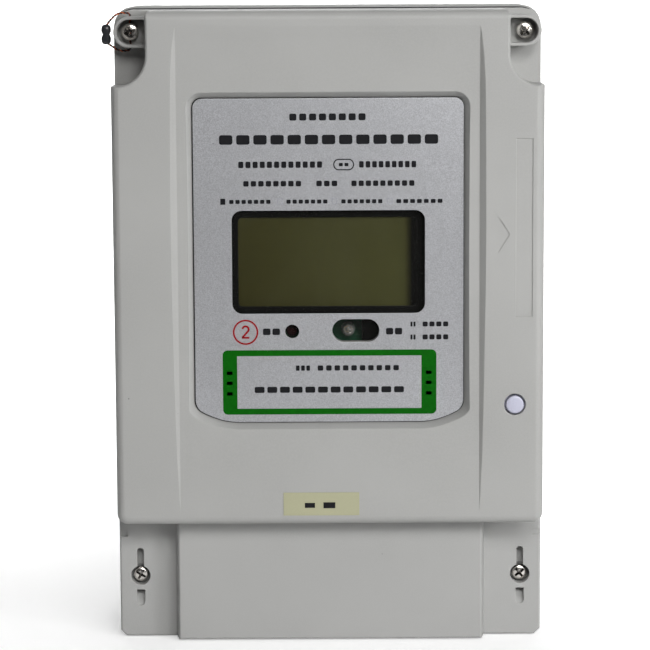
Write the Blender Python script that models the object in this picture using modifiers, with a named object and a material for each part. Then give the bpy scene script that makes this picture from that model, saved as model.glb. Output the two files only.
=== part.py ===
"""Prepaid three-phase electricity meter, built as separate pieces.

Metres, +Z up, front towards -Y. The origin is the middle of the flat back
that lies against the wall. Every sub-part is one object with one closed body.
"""
from math import asin, cos, degrees, pi, radians, sin

import bmesh
import bpy
from mathutils import Matrix, Vector

MM = 0.001
GAP = 0.3 * MM                      # clearance left between neighbouring pieces

# ---- case: widths along X, heights along Z, depths measured forward from the wall
BASE_WIDTH = 175 * MM
BASE_HEIGHT = 259 * MM
BASE_DEPTH = 33 * MM
BASE_CORNER = 8 * MM
WALL = 3 * MM
COVER_WIDTH = 172 * MM
COVER_TOP = 128.3 * MM
COVER_BOTTOM = -78 * MM
COVER_DEPTH = 76 * MM
COVER_EDGE = 3.6 * MM               # radius of the cover's front edges
COVER_SKIN = 2.8 * MM
GASKET_THICK = 1.2 * MM
SKIRT = BASE_DEPTH + GASKET_THICK + 2 * GAP

# ---- top corners of the cover: open notches that hold the seal lugs
NOTCH_WALL = 72.1 * MM              # half the width of the block between the notches
NOTCH_ARC = 12.3 * MM
NOTCH_FOOT = 98.6 * MM              # lowest point of a notch
NOTCH_FLOOR = 52 * MM
LUG_TOP = 64 * MM
LUG_RADIUS = 6.3 * MM
LUG_WALL = 1.4 * MM
LUG_SEAT = 54 * MM                  # depth of the floor that the screw head presses
SEAL_SCREW = (79.1 * MM, 119.8 * MM)
WIRE_HOLE = 0.85 * MM
WIRE_DEPTH = 56.1 * MM              # where the seal wire passes through the head

# ---- face of the cover: sunk panel, window recess, button and card mark
PANEL_HALF = 60.2 * MM
PANEL_FLARE = 3.0 / 2.2             # side run of the panel's step for each unit of depth
PANEL_DEPTHS = ((122.3, -0.05), (118, 0.7), (109, 1.4), (97, 1.9), (62, 2.2), (28, 2.2), (-10, 1.75), (-45, 1.1),
                (-66, 0.45), (-73.5, -0.05))
RECESS_HALF = 54.3 * MM
RECESS_TOP = 94.1 * MM
RECESS_BOTTOM = -36.9 * MM
RECESS_FLOOR = 70.5 * MM
RECESS_SLOPE = 0.64
PLATE_THICK = 0.8 * MM
PANE_THICK = 1.2 * MM
PANE_BOX = (-44 * MM, 44 * MM, -8 * MM, 53 * MM)
LCD_CUTOUT = (-38.7 * MM, 38.5 * MM, 7.4 * MM, 48.9 * MM)
PULSE_HOLE = (-14.8 * MM, 0.2 * MM)
IR_CUTOUT = (1.3 * MM, 20.2 * MM, -4.2 * MM, 5.1 * MM)
INNER_FACE = 66.5 * MM              # inside of the cover behind the window
WING_FACE = 73 * MM                 # inside of the cover's side wings
BUTTON = (74.4 * MM, -29.2 * MM)
BUTTON_RADIUS = 3.5 * MM
BUTTON_HOLE = 4.3 * MM
SLOT_MARK = (74.6 * MM, 81.2 * MM, 6.4 * MM, 77.5 * MM)
ARROW_MARK = ((67.6 * MM, 32 * MM), (72.2 * MM, 39.4 * MM), (67.6 * MM, 46.6 * MM))
STICKER = (-18.7 * MM, 11.9 * MM, -74.2 * MM, -64.7 * MM)

# ---- terminal cover
TERMINAL_TOP = -78.6 * MM
TERMINAL_BOTTOM = -129.3 * MM
TERMINAL_HALF = 86.8 * MM
WING_FRONT = 54 * MM
CENTRE_FRONT = 62 * MM
CENTRE_HALF = 63.4 * MM
CENTRE_DRAFT = 1.6 * MM
TERMINAL_SCREW = (78.3 * MM, -103.7 * MM)
HEAD_POCKET = 3.75 * MM
POCKET_FLOOR = 48 * MM

# ---- inside
PITCH = 17 * MM
CLAMPS = 8
CLAMP_DEPTH = 20 * MM               # depth of the wire bores' centre line
CLAMP_SIZE = 11.4 * MM
CLAMP_BOTTOM = -111.7 * MM
CLAMP_TOP = -85.6 * MM
WIRE_BORE = 4 * MM
TAIL_TOP = -58 * MM
BLOCK_HALF = 71 * MM
BLOCK_FRONT = 46 * MM
BLOCK_BOTTOM = -112 * MM
BLOCK_TOP = -81.3 * MM
PCB_BACK = 57.8 * MM
PCB_FRONT = 59.4 * MM
PCB_SCREWS = ((-73 * MM, 82 * MM), (73 * MM, 82 * MM), (-73 * MM, -46 * MM), (73 * MM, -46 * MM))
RELAY_PUSH = 15 * MM                # height of the pusher above the contact arms' pivots
RELAY_PIVOT_Z = -36 * MM
RELAY_ARMS = (-8 * MM, 14 * MM, 36 * MM)

for stale in list(bpy.data.objects):
    bpy.data.objects.remove(stale)

PARTS = bpy.data.collections.new("prepaid_electricity_meter")
CUTTERS = bpy.data.collections.new("cutters")
for holder in (PARTS, CUTTERS):
    bpy.context.scene.collection.children.link(holder)


# ---------------------------------------------------------------- materials
def material(name, colour, roughness, metallic=0.0, transmission=0.0):
    made = bpy.data.materials.new(name)
    made.use_nodes = True
    shader = made.node_tree.nodes["Principled BSDF"]
    shader.inputs["Base Color"].default_value = (*colour, 1)
    shader.inputs["Roughness"].default_value = roughness
    shader.inputs["Metallic"].default_value = metallic
    shader.inputs["Transmission Weight"].default_value = transmission
    return made


GREY_CASE = material("grey_case", (0.40, 0.40, 0.38), 0.5)
DARK_GREY = material("dark_grey_moulding", (0.09, 0.09, 0.10), 0.5)
BLACK = material("black_plastic", (0.012, 0.012, 0.013), 0.4)
WHITE = material("white_plastic", (0.62, 0.63, 0.70), 0.35)
SILVER = material("silver_plate", (0.42, 0.43, 0.46), 0.35, 0.6)
CLEAR = material("clear_sheet", (0.9, 0.9, 0.9), 0.05, 0.0, 1.0)
OLIVE = material("display_glass", (0.05, 0.05, 0.02), 0.15)
KHAKI = material("khaki_sticker", (0.42, 0.41, 0.27), 0.6)
STEEL = material("nickel_steel", (0.62, 0.60, 0.57), 0.25, 1.0)
BRASS = material("brass", (0.72, 0.53, 0.24), 0.3, 1.0)
COPPER = material("copper", (0.75, 0.30, 0.16), 0.35, 1.0)
RUBBER = material("rubber", (0.02, 0.02, 0.02), 0.8)
BOARD = material("green_board", (0.01, 0.12, 0.05), 0.4)
RED = material("red_lens", (0.10, 0.003, 0.006), 0.15)


# ---------------------------------------------------------------- mesh helpers
def arc(x, z, radius, start, end, steps=4):
    """Points on a circle in the front view; the angles are in degrees."""
    turns = [radians(start + (end - start) * i / steps) for i in range(steps + 1)]
    return [(x + radius * cos(a), z + radius * sin(a)) for a in turns]


def rounded(x0, x1, z0, z1, top, bottom=None, steps=4):
    """Anticlockwise outline of a rectangle with round top and bottom corners."""
    bottom = top if bottom is None else bottom
    points = arc(x0 + bottom, z0 + bottom, bottom, 180, 270, steps)
    points += arc(x1 - bottom, z0 + bottom, bottom, 270, 360, steps)
    points += arc(x1 - top, z1 - top, top, 0, 90, steps)
    return points + arc(x0 + top, z1 - top, top, 90, 180, steps)


def rectangle(x0, x1, z0, z1):
    return [(x0, z0), (x1, z0), (x1, z1), (x0, z1)]


def mirrored(right_half):
    """Closed outline from its right half, listed from the bottom to the top."""
    return right_half + [(-x, z) for x, z in reversed(right_half)]


def put(name, mesh, look, origin=(0, 0, 0)):
    """A part's object; its mesh is given in world space, and its origin is moved."""
    mesh.name = name
    mesh.transform(Matrix.Translation(-Vector(origin)))
    part = bpy.data.objects.new(name, mesh)
    part.location = origin
    if look is None:
        CUTTERS.objects.link(part)
        part.hide_render = True
        part.display_type = "WIRE"
    else:
        PARTS.objects.link(part)
        mesh.materials.clear()
        mesh.materials.append(look)
        mesh.shade_smooth()
        mesh.set_sharp_from_angle(angle=radians(35))
    return part


def tidied(mesh, join_faces):
    """Weld the caps, turn every face outwards and, if asked, join flat faces."""
    work = bmesh.new()
    work.from_mesh(mesh)
    bmesh.ops.remove_doubles(work, verts=work.verts, dist=1e-6)
    if join_faces:
        bmesh.ops.dissolve_limit(work, angle_limit=radians(0.5), verts=work.verts, edges=work.edges)
    bmesh.ops.recalc_face_normals(work, faces=work.faces)
    work.to_mesh(mesh)
    work.free()
    return mesh


def plate(name, outlines, back, front, look=None, origin=(0, 0, 0), edge=0.0, segments=3):
    """Flat outlines in the front view, made thick from depth `back` to depth `front`.

    Outlines inside the first one are holes. `edge` rounds the rim of the front face.
    """
    curve = bpy.data.curves.new(name + "_outline", "CURVE")
    curve.dimensions = "2D"
    curve.fill_mode = "BOTH"
    curve.extrude = (front - back) / 2
    for outline in outlines:
        spline = curve.splines.new("POLY")
        spline.points.add(len(outline) - 1)
        spline.use_cyclic_u = True
        for point, (x, z) in zip(spline.points, outline):
            point.co = (x, z, 0, 1)
    guide = bpy.data.objects.new(name + "_outline", curve)
    bpy.context.scene.collection.objects.link(guide)
    graph = bpy.context.evaluated_depsgraph_get()
    mesh = bpy.data.meshes.new_from_object(guide.evaluated_get(graph))
    bpy.data.objects.remove(guide)
    mesh.transform(Matrix.Rotation(pi / 2, 4, "X"))
    mesh.transform(Matrix.Translation((0, -(back + front) / 2, 0)))
    tidied(mesh, edge > 0)
    if edge:
        round_front(mesh, front, edge, segments)
    return put(name, mesh, look, origin)


def round_front(mesh, front, radius, segments):
    """Round the outline of the front face of a flat plate."""
    work = bmesh.new()
    work.from_mesh(mesh)
    rim = []
    for edge in work.edges:
        on_front = all(abs(v.co.y + front) < 1e-6 for v in edge.verts)
        if on_front and edge.calc_face_angle(0) > radians(45):
            rim.append(edge)
    bmesh.ops.bevel(work, geom=rim, offset=radius, segments=segments, profile=0.5, affect="EDGES")
    work.to_mesh(mesh)
    work.free()


def box(name, x0, x1, back, front, z0, z1, look=None, origin=(0, 0, 0)):
    work = bmesh.new()
    bmesh.ops.create_cube(work, size=1)
    bmesh.ops.scale(work, vec=(x1 - x0, front - back, z1 - z0), verts=work.verts)
    centre = ((x0 + x1) / 2, -(back + front) / 2, (z0 + z1) / 2)
    bmesh.ops.translate(work, vec=centre, verts=work.verts)
    mesh = bpy.data.meshes.new(name)
    work.to_mesh(mesh)
    work.free()
    return put(name, mesh, look, origin)


def rod(name, place, radius, back, front, look=None, sides=20, tip=None):
    """Round bar that points at the viewer, at `place` = (x, z)."""
    tip = radius if tip is None else tip
    work = bmesh.new()
    bmesh.ops.create_cone(
        work, cap_ends=True, segments=sides, radius1=radius, radius2=tip, depth=front - back)
    bmesh.ops.rotate(work, matrix=Matrix.Rotation(pi / 2, 3, "X"), verts=work.verts)
    centre = Vector((place[0], -(back + front) / 2, place[1]))
    bmesh.ops.translate(work, vec=centre, verts=work.verts)
    mesh = bpy.data.meshes.new(name)
    work.to_mesh(mesh)
    work.free()
    return put(name, mesh, look, centre)


def upright(name, centre, radius, height, look=None, sides=16, turn=None):
    """Round bar along Z, or along X when `turn` is "Y"."""
    work = bmesh.new()
    bmesh.ops.create_cone(
        work, cap_ends=True, segments=sides, radius1=radius, radius2=radius, depth=height)
    if turn:
        bmesh.ops.rotate(work, matrix=Matrix.Rotation(pi / 2, 3, turn), verts=work.verts)
    bmesh.ops.translate(work, vec=centre, verts=work.verts)
    mesh = bpy.data.meshes.new(name)
    work.to_mesh(mesh)
    work.free()
    return put(name, mesh, look, centre)


def loft(name, rings, look=None):
    """Skin through rings of equally many points, closed by a cap at each end."""
    work = bmesh.new()
    loops = [[work.verts.new(point) for point in ring] for ring in rings]
    for near, far in zip(loops, loops[1:]):
        for i in range(len(near)):
            j = (i + 1) % len(near)
            work.faces.new((near[i], near[j], far[j], far[i]))
    work.faces.new(loops[0])
    work.faces.new(loops[-1])
    bmesh.ops.recalc_face_normals(work, faces=work.faces)
    mesh = bpy.data.meshes.new(name)
    work.to_mesh(mesh)
    work.free()
    return put(name, mesh, look)


def turned(name, profile, look, origin, steps=24, forward=True):
    """Profile of (radius, height) points, run down its outer side and turned once.

    A profile that starts away from the axis is closed into a ring.
    """
    mesh = bpy.data.meshes.new(name)
    points = [(radius, 0, height) for radius, height in profile]
    edges = [(i, i + 1) for i in range(len(points) - 1)]
    if profile[0][0] > 0:
        edges.append((len(points) - 1, 0))
    mesh.from_pydata(points, edges, [])
    mesh.materials.append(look)
    part = bpy.data.objects.new(name, mesh)
    PARTS.objects.link(part)
    part.location = origin
    if forward:
        part.rotation_euler = (pi / 2, 0, 0)
    spin = part.modifiers.new("turn", "SCREW")
    spin.steps = steps
    spin.render_steps = steps
    spin.use_merge_vertices = True
    spin.merge_threshold = 0.00001
    spin.use_smooth_shade = True
    return part


def wire(name, points, radius, look, cyclic=False, resolution=2):
    curve = bpy.data.curves.new(name, "CURVE")
    curve.dimensions = "3D"
    curve.bevel_depth = radius
    curve.bevel_resolution = resolution
    curve.use_fill_caps = not cyclic
    spline = curve.splines.new("POLY")
    spline.points.add(len(points) - 1)
    spline.use_cyclic_u = cyclic
    for point, place in zip(spline.points, points):
        point.co = (*place, 1)
    curve.materials.append(look)
    part = bpy.data.objects.new(name, curve)
    PARTS.objects.link(part)
    return part


def combine(part, other, operation):
    step = part.modifiers.new(other.name, "BOOLEAN")
    step.operation = operation
    step.solver = "EXACT"
    step.object = other


def cut(part, *others):
    for other in others:
        combine(part, other, "DIFFERENCE")


def add(part, *others):
    for other in others:
        combine(part, other, "UNION")


def body(name, *pieces):
    """Empty that carries the pieces of one moving assembly."""
    carrier = bpy.data.objects.new(name, None)
    PARTS.objects.link(carrier)
    for piece in pieces:
        piece.parent = carrier
    return carrier


def smooth_path(points, per_leg=4, cyclic=False):
    """Points on a Catmull-Rom curve through the route's own points."""
    count = len(points)
    legs = count if cyclic else count - 1
    route = []
    for leg in range(legs):
        picks = [leg - 1, leg, leg + 1, leg + 2]
        if cyclic:
            picks = [i % count for i in picks]
        else:
            picks = [min(max(i, 0), count - 1) for i in picks]
        a, b, c, d = (Vector(points[i]) for i in picks)
        for i in range(per_leg):
            t = i / per_leg
            bend = (2 * a - 5 * b + 4 * c - d) * t * t + (3 * b - a - 3 * c + d) * t ** 3
            route.append((2 * b + (c - a) * t + bend) / 2)
    if not cyclic:
        route.append(Vector(points[-1]))
    return route


# ---------------------------------------------------------------- base
def chamber_outline(half, bottom, top, shoulder_half, shoulder_z):
    """Inside of the case, stepped in at the two top corners round the screw bosses."""
    right = [(half, bottom), (half, shoulder_z), (shoulder_half, shoulder_z), (shoulder_half, top)]
    return mirrored(right)


def make_base():
    half = BASE_WIDTH / 2
    high = BASE_HEIGHT / 2
    inner = half - WALL
    shell = plate("base", [rounded(-half, half, -high, high, BASE_CORNER, 4 * MM)],
                  0, BASE_DEPTH, GREY_CASE, edge=0.6 * MM, segments=1)
    chamber = chamber_outline(inner, -74.8 * MM, high - WALL, 71 * MM, 111 * MM)
    cut(shell, plate("meter_chamber", [chamber], WALL, BASE_DEPTH + 1 * MM))
    boss_side = 72.6 * MM
    boss_low = TERMINAL_SCREW[1] - 5.5 * MM
    boss_high = TERMINAL_SCREW[1] + 5.5 * MM
    draft = 0.5 * MM
    bay = mirrored([(inner, -high + WALL), (inner, boss_low - draft), (boss_side, boss_low),
                    (boss_side, boss_high), (inner, boss_high + draft), (inner, -77.8 * MM)])
    cut(shell, plate("terminal_chamber", [bay], WALL, BASE_DEPTH + 1 * MM))
    for i, place in enumerate(PCB_SCREWS):
        add(shell, rod("board_post_%d" % i, place, 4 * MM, WALL - 1 * MM, PCB_BACK - GAP, sides=16))
        cut(shell, rod("board_post_hole_%d" % i, place, 1.5 * MM, 48 * MM, PCB_BACK + 1 * MM, sides=12))
    for side in (-1, 1):
        place = (side * SEAL_SCREW[0], SEAL_SCREW[1])
        cut(shell, rod("seal_screw_hole_%+d" % side, place, 2.1 * MM, 12 * MM, 34 * MM, sides=16))
        place = (side * TERMINAL_SCREW[0], TERMINAL_SCREW[1])
        cut(shell, rod("cover_screw_hole_%+d" % side, place, 2.1 * MM, 12 * MM, 34 * MM, sides=16))
        place = (side * 76 * MM, -118.5 * MM)
        add(shell, rod("fixing_pad_%+d" % side, place, 6 * MM, WALL - 1 * MM, WALL + 1.5 * MM, sides=24))
        cut(shell, rod("fixing_hole_%+d" % side, place, 2.6 * MM, -1 * MM, WALL + 3 * MM, sides=24))
    add(shell, box("hanger_house", -18 * MM, 18 * MM, WALL - 1 * MM, 10 * MM, 93 * MM, 127.2 * MM))
    cut(shell, box("hanger_step", -14 * MM, 14 * MM, -1 * MM, 2.1 * MM, 97 * MM, 123 * MM))
    cut(shell, box("hanger_pocket", -9 * MM, 9 * MM, 1 * MM, 7.5 * MM, 100 * MM, 120 * MM))
    cut(shell, box("cable_entry", -66 * MM, 66 * MM, 8 * MM, 28 * MM, -high - 1 * MM, -high + WALL + 1 * MM))
    for i in range(CLAMPS):
        x = clamp_x(i)
        cut(shell, box("tail_slot_%d" % i, x - 3.6 * MM, x + 3.6 * MM,
                       CLAMP_DEPTH - 2 * MM, CLAMP_DEPTH + 2 * MM, -79 * MM, -73 * MM))
    return shell


def clamp_x(i):
    return (i - (CLAMPS - 1) / 2) * PITCH


def make_hanger():
    """Steel plate with a keyhole: the screw head enters the wide end and hangs in the slot."""
    slot = 2.6 * MM
    head = 5 * MM
    meet = degrees(asin(slot / head))
    keyhole = arc(0, 115 * MM, slot, 0, 180, 6)
    keyhole += arc(0, 106.5 * MM, head, 90 + meet, 450 - meet, 16)
    outline = rounded(-13.7 * MM, 13.7 * MM, 97.3 * MM, 122.7 * MM, 2 * MM)
    return plate("hanging_plate", [outline, keyhole], GAP, 1.8 * MM, STEEL)


# ---------------------------------------------------------------- main cover
def make_main_cover():
    half = COVER_WIDTH / 2
    cover = plate("main_cover", [rounded(-half, half, COVER_BOTTOM, COVER_TOP, 7 * MM, 3 * MM)],
                  SKIRT, COVER_DEPTH, GREY_CASE, edge=COVER_EDGE)
    inner = half - COVER_SKIN
    hollow = chamber_outline(inner, COVER_BOTTOM + COVER_SKIN, COVER_TOP - COVER_SKIN,
                             NOTCH_WALL - COVER_SKIN, NOTCH_FOOT - COVER_SKIN)
    cut(cover, plate("cover_hollow", [hollow], SKIRT - 1 * MM, INNER_FACE))
    cut(cover, make_panel())
    cut(cover, make_recess())
    for side in (-1, 1):
        step = 0.3 * MM
        wing = sorted((side * 66 * MM, side * (inner - step)))
        cut(cover, box("wing_hollow_%+d" % side, *wing, INNER_FACE - 1 * MM, WING_FACE,
                       COVER_BOTTOM + COVER_SKIN + step, NOTCH_FOOT - COVER_SKIN - step))
        make_lug(cover, side)
    pane = rounded(*PANE_BOX, 2 * MM, steps=2)
    cut(cover, plate("pane_seat", [pane], RECESS_FLOOR - PANE_THICK - 2 * GAP, RECESS_FLOOR + 1 * MM))
    x0, x1, z0, z1 = LCD_CUTOUT
    wide = 1 * MM
    view = rounded(x0 - wide, x1 + wide, z0 - wide, z1 + wide, 4 * MM)
    cut(cover, plate("display_opening", [view], INNER_FACE - 1 * MM, RECESS_FLOOR))
    cut(cover, rod("pulse_opening", PULSE_HOLE, 3.2 * MM, INNER_FACE - 1 * MM, RECESS_FLOOR, sides=24))
    x0, x1, z0, z1 = IR_CUTOUT
    cut(cover, plate("infrared_opening", [rounded(x0, x1, z0, z1, 4.6 * MM)],
                     INNER_FACE - 1 * MM, RECESS_FLOOR))
    cut(cover, rod("button_opening", BUTTON, BUTTON_HOLE, WING_FACE - 1 * MM, 77 * MM, sides=28))
    cut(cover, plate("card_slot_mark", [rectangle(*SLOT_MARK)], COVER_DEPTH - 0.4 * MM, 77 * MM))
    cut(cover, plate("card_arrow_mark", [list(ARROW_MARK)], COVER_DEPTH - 0.35 * MM, 77 * MM))
    return cover


def make_panel():
    """Cutter for the sunk middle panel: its depth changes along Z, its sides flare."""
    rings = []
    over = 1 * MM
    for height, depth in PANEL_DEPTHS:
        sunk = depth * MM
        top = PANEL_HALF + (sunk + over) * PANEL_FLARE
        floor = -COVER_DEPTH + sunk
        face = -COVER_DEPTH - over
        z = height * MM
        rings.append([(-PANEL_HALF, floor, z), (PANEL_HALF, floor, z), (top, face, z), (-top, face, z)])
    return loft("sunk_panel", rings)


def recess_outline(grow):
    """Window recess with round top corners and a shallow arched bottom edge."""
    half = RECESS_HALF + grow
    low = RECESS_BOTTOM - grow
    right = [(37.5 * MM, low), (42.5 * MM + grow * 0.2, low + 0.7 * MM),
             (52 * MM + grow * 0.6, low + 4.5 * MM), (half - 0.5 * MM, low + 6.6 * MM),
             (half, low + 8.6 * MM)]
    corner = 4 * MM + grow
    right += arc(half - corner, RECESS_TOP + grow - corner, corner, 0, 90, 5)
    return mirrored(right)


def make_recess():
    over = COVER_DEPTH + 0.5 * MM
    grow = (over - RECESS_FLOOR) * RECESS_SLOPE
    floor = [(x, -RECESS_FLOOR, z) for x, z in recess_outline(0)]
    face = [(x, -over, z) for x, z in recess_outline(grow)]
    return loft("window_recess", [floor, face])


def lug_outline(side, radius, inner):
    """D shape: a half circle outwards and straight sides to the middle block."""
    x, z = SEAL_SCREW
    points = [(inner, z - radius)] + arc(x, z, radius, -90, 90, 8) + [(inner, z + radius)]
    if side < 0:
        points = [(-px, pz) for px, pz in reversed(points)]
    return points


def notch_outline(side):
    outside = COVER_WIDTH / 2 + 2 * MM
    x = NOTCH_WALL + NOTCH_ARC
    z = NOTCH_FOOT + NOTCH_ARC
    points = [(outside, NOTCH_FOOT), (outside, COVER_TOP + 2 * MM), (NOTCH_WALL - 2 * MM, COVER_TOP + 2 * MM),
              (NOTCH_WALL, COVER_TOP - 2.4 * MM)]
    points += arc(x, z, NOTCH_ARC, 180, 270, 6)
    return points if side > 0 else [(-px, pz) for px, pz in reversed(points)]


def make_lug(cover, side):
    """Open notch at a top corner with a D-shaped cup for the sealing screw."""
    tag = "right" if side > 0 else "left"
    x, z = side * SEAL_SCREW[0], SEAL_SCREW[1]
    cut(cover, plate("notch_" + tag, [notch_outline(side)], NOTCH_FLOOR, COVER_DEPTH + 1 * MM))
    outer = lug_outline(side, LUG_RADIUS, NOTCH_WALL - 1.5 * MM)
    add(cover, plate("lug_" + tag, [outer], NOTCH_FLOOR - 1 * MM, LUG_TOP))
    inner = lug_outline(side, LUG_RADIUS - LUG_WALL, NOTCH_WALL + 0.5 * MM)
    cut(cover, plate("lug_pocket_" + tag, [inner], LUG_SEAT, LUG_TOP + 1 * MM))
    cut(cover, rod("lug_screw_hole_" + tag, (x, z), 2.1 * MM, SKIRT - 1 * MM, LUG_SEAT + 1 * MM, sides=16))
    cut(cover, upright("lug_wire_hole_" + tag, (x, -WIRE_DEPTH, z), WIRE_HOLE, 14 * MM, sides=10))


def make_gasket():
    half = COVER_WIDTH / 2 - 0.5 * MM
    wide = 1.8 * MM
    low = COVER_BOTTOM + 0.4 * MM
    high = COVER_TOP - 0.8 * MM
    outer = rounded(-half, half, low, high, 6.2 * MM, 2.6 * MM)
    inner = rounded(-half + wide, half - wide, low + wide, high - wide, 4.4 * MM, 1 * MM)
    return plate("cover_gasket", [outer, inner], BASE_DEPTH + GAP, BASE_DEPTH + GAP + GASKET_THICK, RUBBER)


def make_faceplate():
    """Thin printed plate in the recess, with the display, pulse and infrared cut-outs."""
    shrink = -0.35 * MM
    x0, x1, z0, z1 = IR_CUTOUT
    holes = [rounded(*LCD_CUTOUT, 4 * MM), arc(*PULSE_HOLE, 2.8 * MM, 0, 345, 23),
             rounded(x0, x1, z0, z1, 4.6 * MM)]
    back = RECESS_FLOOR + GAP
    return plate("faceplate", [recess_outline(shrink)] + holes, back, back + PLATE_THICK, SILVER)


def make_window_pane():
    x0, x1, z0, z1 = PANE_BOX
    sheet = rounded(x0 + GAP, x1 - GAP, z0 + GAP, z1 - GAP, 1.7 * MM, steps=2)
    back = RECESS_FLOOR - PANE_THICK - GAP
    return plate("window_pane", [sheet], back, back + PANE_THICK, CLEAR)


def make_sticker():
    """Blank label near the cover's lower edge, lying on the panel's gentle slope."""
    x0, x1, z0, z1 = STICKER
    thick = 0.2 * MM
    centre = Vector(((x0 + x1) / 2, -76.22 * MM, (z0 + z1) / 2))
    label = box("type_sticker", x0, x1, -centre.y - thick / 2, -centre.y + thick / 2, z0, z1, KHAKI, centre)
    label.rotation_euler = (radians(-1.6), 0, 0)
    return label


# ---------------------------------------------------------------- screws
def make_screw(name, place, seat, head_radius, head_height, shank_radius, length, look, cross=True,
               steps=16, drive=0.45):
    """Screw that points away from the viewer; its head rests at depth `seat`.

    `drive` is the height of the driver recess's floor as a share of the head's height.
    """
    dome = 0.25 * head_height
    rim = 0.82 * head_radius
    profile = [(0, head_height), (rim, head_height), (head_radius, head_height - dome),
               (head_radius, 0), (shank_radius, 0), (shank_radius, -length + shank_radius),
               (0.35 * shank_radius, -length), (0, -length)]
    origin = (place[0], -seat, place[1])
    screw = turned(name, profile, look, origin, steps=steps)
    long = 0.68 * head_radius
    thin = 0.16 * head_radius
    floor = seat + drive * head_height
    top = seat + head_height + 1 * MM
    x, z = place
    if cross:
        tip = 0.7 * thin
        points = [(tip, -long), (thin, -thin), (long, -tip), (long, tip), (thin, thin), (tip, long)]
        outline = [(x + px, z + pz) for px, pz in mirrored(points)]
    else:
        outline = rectangle(x - head_radius * 1.2, x + head_radius * 1.2, z - thin * 1.3, z + thin * 1.3)
    cut(screw, plate(name + "_drive", [outline], floor, top))
    return screw


def make_seal_screw(name, side):
    """Tall-headed cover screw with a cross hole for the seal wire."""
    place = (side * SEAL_SCREW[0], SEAL_SCREW[1])
    screw = make_screw(name, place, LUG_SEAT + GAP, 3.15 * MM, 4.6 * MM, 1.75 * MM, 36 * MM, STEEL,
                       drive=0.7)
    cut(screw, upright(name + "_wire_hole", (place[0], -WIRE_DEPTH, place[1]), WIRE_HOLE, 9 * MM, sides=10))
    return screw


def make_terminal_cover_screw(name, side):
    place = (side * TERMINAL_SCREW[0], TERMINAL_SCREW[1])
    return make_screw(name, place, POCKET_FLOOR + GAP, 3.25 * MM, 3.8 * MM, 1.75 * MM, 30 * MM, STEEL)


# ---------------------------------------------------------------- seal
def make_seal_wire():
    """Wire loop through the left lug and screw, closed inside the seal body."""
    x, z = -SEAL_SCREW[0], SEAL_SCREW[1]
    reach = 9 * MM
    route = [(-88.6, -57.7, 121.6), (-88.5, -57.7, 123.6), (-86.8, -57.8, 126.2), (-83.4, -57.4, 127.7),
             (-80.2, -56.5, 127.4)]
    points = [Vector(p) * MM for p in route]
    points += [Vector((x, -WIRE_DEPTH, z + reach * part)) for part in (0.72, 0.36, 0, -0.36, -0.72)]
    route = [(-80.2, -56.5, 112.2), (-83.4, -57.4, 111.6), (-86.8, -57.8, 112.4), (-88.5, -57.7, 114.2),
             (-88.6, -57.7, 116.0)]
    points += [Vector(p) * MM for p in route]
    return wire("seal_wire", smooth_path(points), 0.45 * MM, COPPER, resolution=1)


def make_seal_body():
    """Crimped seal that closes the wire loop."""
    seal = box("seal_body", -90.6 * MM, -86.7 * MM, 55.4 * MM, 59.6 * MM, 114.6 * MM, 123 * MM, BLACK,
               (-88.6 * MM, -57.5 * MM, 118.8 * MM))
    soften = seal.modifiers.new("soften", "BEVEL")
    soften.width = 0.9 * MM
    soften.segments = 2
    for sign, top in ((1, 123), (-1, 114.6)):
        mid = top - sign * 0.2
        cut(seal, box("seal_throat_%+d" % sign, -89.9 * MM, -87.3 * MM, 56.6 * MM, 58.9 * MM,
                      (mid - 1.9) * MM, (mid + 1.9) * MM))
    return seal


# ---------------------------------------------------------------- terminal cover
def make_terminal_cover():
    half = TERMINAL_HALF
    chamfer = 2.4 * MM
    outline = mirrored([(half - chamfer, TERMINAL_BOTTOM), (half, TERMINAL_BOTTOM + chamfer),
                        (half, TERMINAL_TOP)])
    lid = plate("terminal_cover", [outline], BASE_DEPTH + GAP, WING_FRONT, GREY_CASE,
                edge=1 * MM, segments=2)
    add(lid, make_terminal_bulge())
    inner = half - 2.4 * MM
    low = TERMINAL_BOTTOM + 2.4 * MM
    high = TERMINAL_TOP - 2.2 * MM
    cut(lid, plate("lid_hollow", [rectangle(-inner, inner, low, high)], BASE_DEPTH - 1 * MM,
                   WING_FRONT - 2.4 * MM))
    cut(lid, box("bulge_hollow", -CENTRE_HALF + 4.2 * MM, CENTRE_HALF - 4.2 * MM, WING_FRONT - 4 * MM,
                 CENTRE_FRONT - 2.4 * MM, low, high))
    for side in (-1, 1):
        make_lid_fixing(lid, side)
    return lid


def make_terminal_bulge():
    """Raised middle of the terminal cover with sloping side walls."""
    rings = []
    for depth, half, drop in ((WING_FRONT - 2 * MM, CENTRE_HALF + 0.4 * MM, 0.35 * MM),
                              (CENTRE_FRONT - 1.4 * MM, CENTRE_HALF - CENTRE_DRAFT, 0.35 * MM),
                              (CENTRE_FRONT - 0.4 * MM, CENTRE_HALF - CENTRE_DRAFT - 0.45 * MM, 0.8 * MM),
                              (CENTRE_FRONT, CENTRE_HALF - CENTRE_DRAFT - 1.4 * MM, 1.8 * MM)):
        outline = rectangle(-half, half, TERMINAL_BOTTOM + drop, TERMINAL_TOP - 0.3 * MM)
        rings.append([(x, -depth, z) for x, z in outline])
    return loft("terminal_bulge", rings)


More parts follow.
